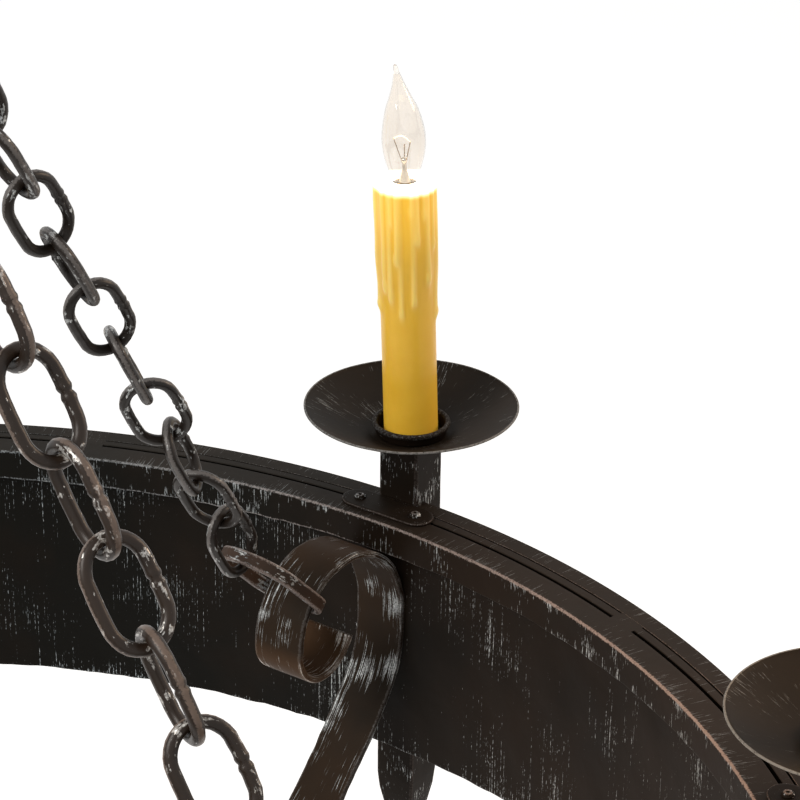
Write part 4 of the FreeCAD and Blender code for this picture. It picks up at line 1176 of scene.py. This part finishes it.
def hub():
    """Eight-sided plate under the straps, its four bolts, the cap over them, and the turned finial with the
    rod that closes the stack. Each is a turned outline but the plate, which is a slab."""
    h, c = hub_plate_side / 2, hub_plate_side / 2 - hub_plate_corner
    corners = [(h, c), (c, h), (-c, h), (-h, c), (-h, -c), (-c, -h), (c, -h), (h, -c)]
    outline, _ = rounded(corners, 3.0, 8.0)
    low, t = hub_bottom - hub_plate_thickness, hub_plate_thickness
    plate = slab(outline, [(8, low), (1.2, low), (0.3, low + 0.3), (0, low + 1.1), (0, low + t - 0.8),
                           (0.3, low + t - 0.2), (0.9, low + t - 0.02), (8, low + t - 0.02)],
                 [0.1, 0.8, 1, 1, 1, 1, 0.8, 0.1])
    piece("hub_octagon", [moved(plate, offset=(0, 0, RIM_TOP))], [turned_iron], "wheel", ["hub_plate"])

    head = hub_bolt_head_height
    bolt = soft_lathe([(1.0, low - head), (hub_bolt_head_radius * 0.62, low - head + 0.5),
                       (hub_bolt_head_radius, low - head * 0.35), (hub_bolt_head_radius, low),
                       (hub_bolt_radius, low), (hub_bolt_radius, hub_top + hub_nut_height + 1.6),
                       (1.0, hub_top + hub_nut_height + 2)], 0.5, 28)
    bolts = [moved(bolt, 90.0 * k, (strap_bolt_radius, 0, RIM_TOP), 9 * k) for k in range(4)]
    piece("bolts", bolts, [turned_iron], "wheel", ["hub_bolts"])

    r, high = hub_cap_radius, hub_top + hub_cap_height
    cap = soft_lathe([(5.4, hub_top), (r, hub_top), (r, hub_top + 2), (r * 0.7, high), (5.4, high)], 1.0, closed=True)
    piece("cap", [moved(cap, offset=(0, 0, RIM_TOP))], [turned_iron], "wheel", ["hub_cap"])

    r = finial_radius
    centre = low - finial_neck_height - r
    ball = [(r * cos(a), centre + r * sin(a)) for a in np.radians(np.arange(-66, 67, 11))]
    profile = [(0.8, centre - 1.35 * r), (2.6, centre - 1.33 * r), (3.4, centre - 1.24 * r), (4.2, centre - 1.1 * r)]
    neck, rod, end = finial_neck_radius, finial_rod_radius, high + finial_nut_height + 2
    profile += ball + [(neck, low - 6.5), (neck, low - 6.0), (neck + 5.6, low - 4), (neck + 6, low - 3.4),
                       (neck + 6, low - 0.4), (neck + 5.6, low - 0.02), (rod, low - 0.02)]
    profile += [(rod, high), (rod, end - 0.6), (rod - 0.7, end), (0.8, end)]
    drop = lathe(profile, 56, 0.25)
    piece("drop", [moved(drop, offset=(0, 0, RIM_TOP))], [turned_iron], "wheel", ["finial"])


# ---------------------------------------------------------------- the part

rim()
candles()
strap_grid, ring_grid = strap(), ring()
for k in range(4):
    number = "_%d" % (k + 1)
    piece("strap" + number, [moved(strap_grid, 90.0 * k, shift=17.0 * k)], [strap_iron], "wheel",
          ["strap_scroll" + number])
    piece("ring" + number, [moved(ring_grid, 90.0 * k, shift=19.0 * k)], [ring_iron], "wheel",
          ["oval_ring" + number])
    piece("links" + number, [moved(g, 90.0 * k, shift=5.0 * k) for g in chain(100 * k)], [chain_iron], "wheel",
          ["chain" + number])
hanger()
hub()

for name, material in {
    "candle_stems": zinc, "ceiling_bar": zinc, "lock_nuts": zinc, "nipple": zinc,
    "hub_nuts": hidden_iron, "finial_nut": hidden_iron, "eye_nut": hidden_iron,
}.items():
    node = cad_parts[name]
    node.data.materials.clear()
    node.data.materials.append(material)

# ---------------------------------------------------------------- stage, light and camera

floor_height = -2.75
floor_half = 12.0
camera_place = Vector((-0.8352, -0.9959, RIM_TOP * MM + 0.92735))
camera_heading = radians(34.78)
camera_pitch = 0.452
camera_roll = 0.012
camera_lens = 126.40
floor_glow = 0.58
room_light = 0.42
room_white = 1.0


def looking(tree):
    """1 for a ray that only looks at the white room, straight from the camera or by way of gloss or glass."""
    rays = add(tree, "LightPath").node.outputs
    looks = add(tree, "Math", {0: rays["Is Camera Ray"], 1: rays["Is Glossy Ray"]}, operation="MAXIMUM")
    return add(tree, "Math", {0: looks, 1: rays["Is Transmission Ray"]}, operation="MAXIMUM")


def stage():
    """Plain white floor: it keeps the shadow, and what is added for rays that only look is light of its own."""
    material, tree = new_material("plain white floor")
    paint = add(tree, "BsdfDiffuse", {"Color": (0.9, 0.9, 0.9, 1)})
    lift = add(tree, "Math", {0: looking(tree), 1: floor_glow}, operation="MULTIPLY")
    light = add(tree, "Emission", {"Color": (1, 1, 1, 1), "Strength": lift})
    add(tree, "OutputMaterial", {"Surface": add(tree, "AddShader", {0: paint, 1: light})})
    mesh = bpy.data.meshes.new("floor")
    s, z = floor_half, floor_height
    mesh.from_pydata([(-s, -s, z), (s, -s, z), (s, s, z), (-s, s, z)], [], [(0, 1, 2, 3)])
    mesh.materials.append(material)
    floor = bpy.data.objects.new("floor", mesh)
    bpy.context.scene.collection.objects.link(floor)

    world = bpy.data.worlds.new("soft white room")
    bpy.context.scene.world = world
    world.use_nodes = True
    tree = world.node_tree
    tree.nodes.clear()
    strength = add(tree, "MapRange", {0: looking(tree), 3: room_light, 4: room_white})
    sky = add(tree, "Background", {"Color": (1, 1, 1, 1), "Strength": strength})
    add(tree, "OutputWorld", {"Surface": sky})


def lamp(name, place, target, size, power, tint):
    """Square soft lamp: place and target in metres, size of a side in metres, power in watts."""
    data = bpy.data.lights.new(name, "AREA")
    data.size = size
    data.energy = power
    data.color = colour(tint)[:3]
    made = bpy.data.objects.new(name, data)
    bpy.context.scene.collection.objects.link(made)
    made.location = place
    made.rotation_euler = (Vector(target) - Vector(place)).to_track_quat("-Z", "Y").to_euler()


def camera():
    """Looks across the wheel and down at its far side, rolled a little."""
    level = Vector((cos(camera_heading), sin(camera_heading), 0))
    forward = level * cos(camera_pitch) + Vector((0, 0, -sin(camera_pitch)))
    right = level.cross(Vector((0, 0, 1)))
    up = right.cross(forward)
    c, s = cos(camera_roll), sin(camera_roll)
    right, up = right * c + up * s, up * c - right * s
    data = bpy.data.cameras.new("camera")
    data.lens = camera_lens
    data.sensor_width = 36.0
    data.clip_end = 60
    made = bpy.data.objects.new("camera", data)
    turn = Matrix((right, up, -forward)).transposed().to_4x4()
    made.matrix_world = Matrix.Translation(camera_place) @ turn
    bpy.context.scene.collection.objects.link(made)
    bpy.context.scene.camera = made


stage()
wheel_middle = (0.3, 0, RIM_TOP * MM)
lamp("key", (-3.3, 0.9, 2.0), wheel_middle, 2.2, 150, "#fffaf4")
lamp("fill", (3.3, -2.2, 0.9), wheel_middle, 1.6, 55, "#ffdcb8")
camera()
bpy.context.scene.view_settings.view_transform = "Standard"
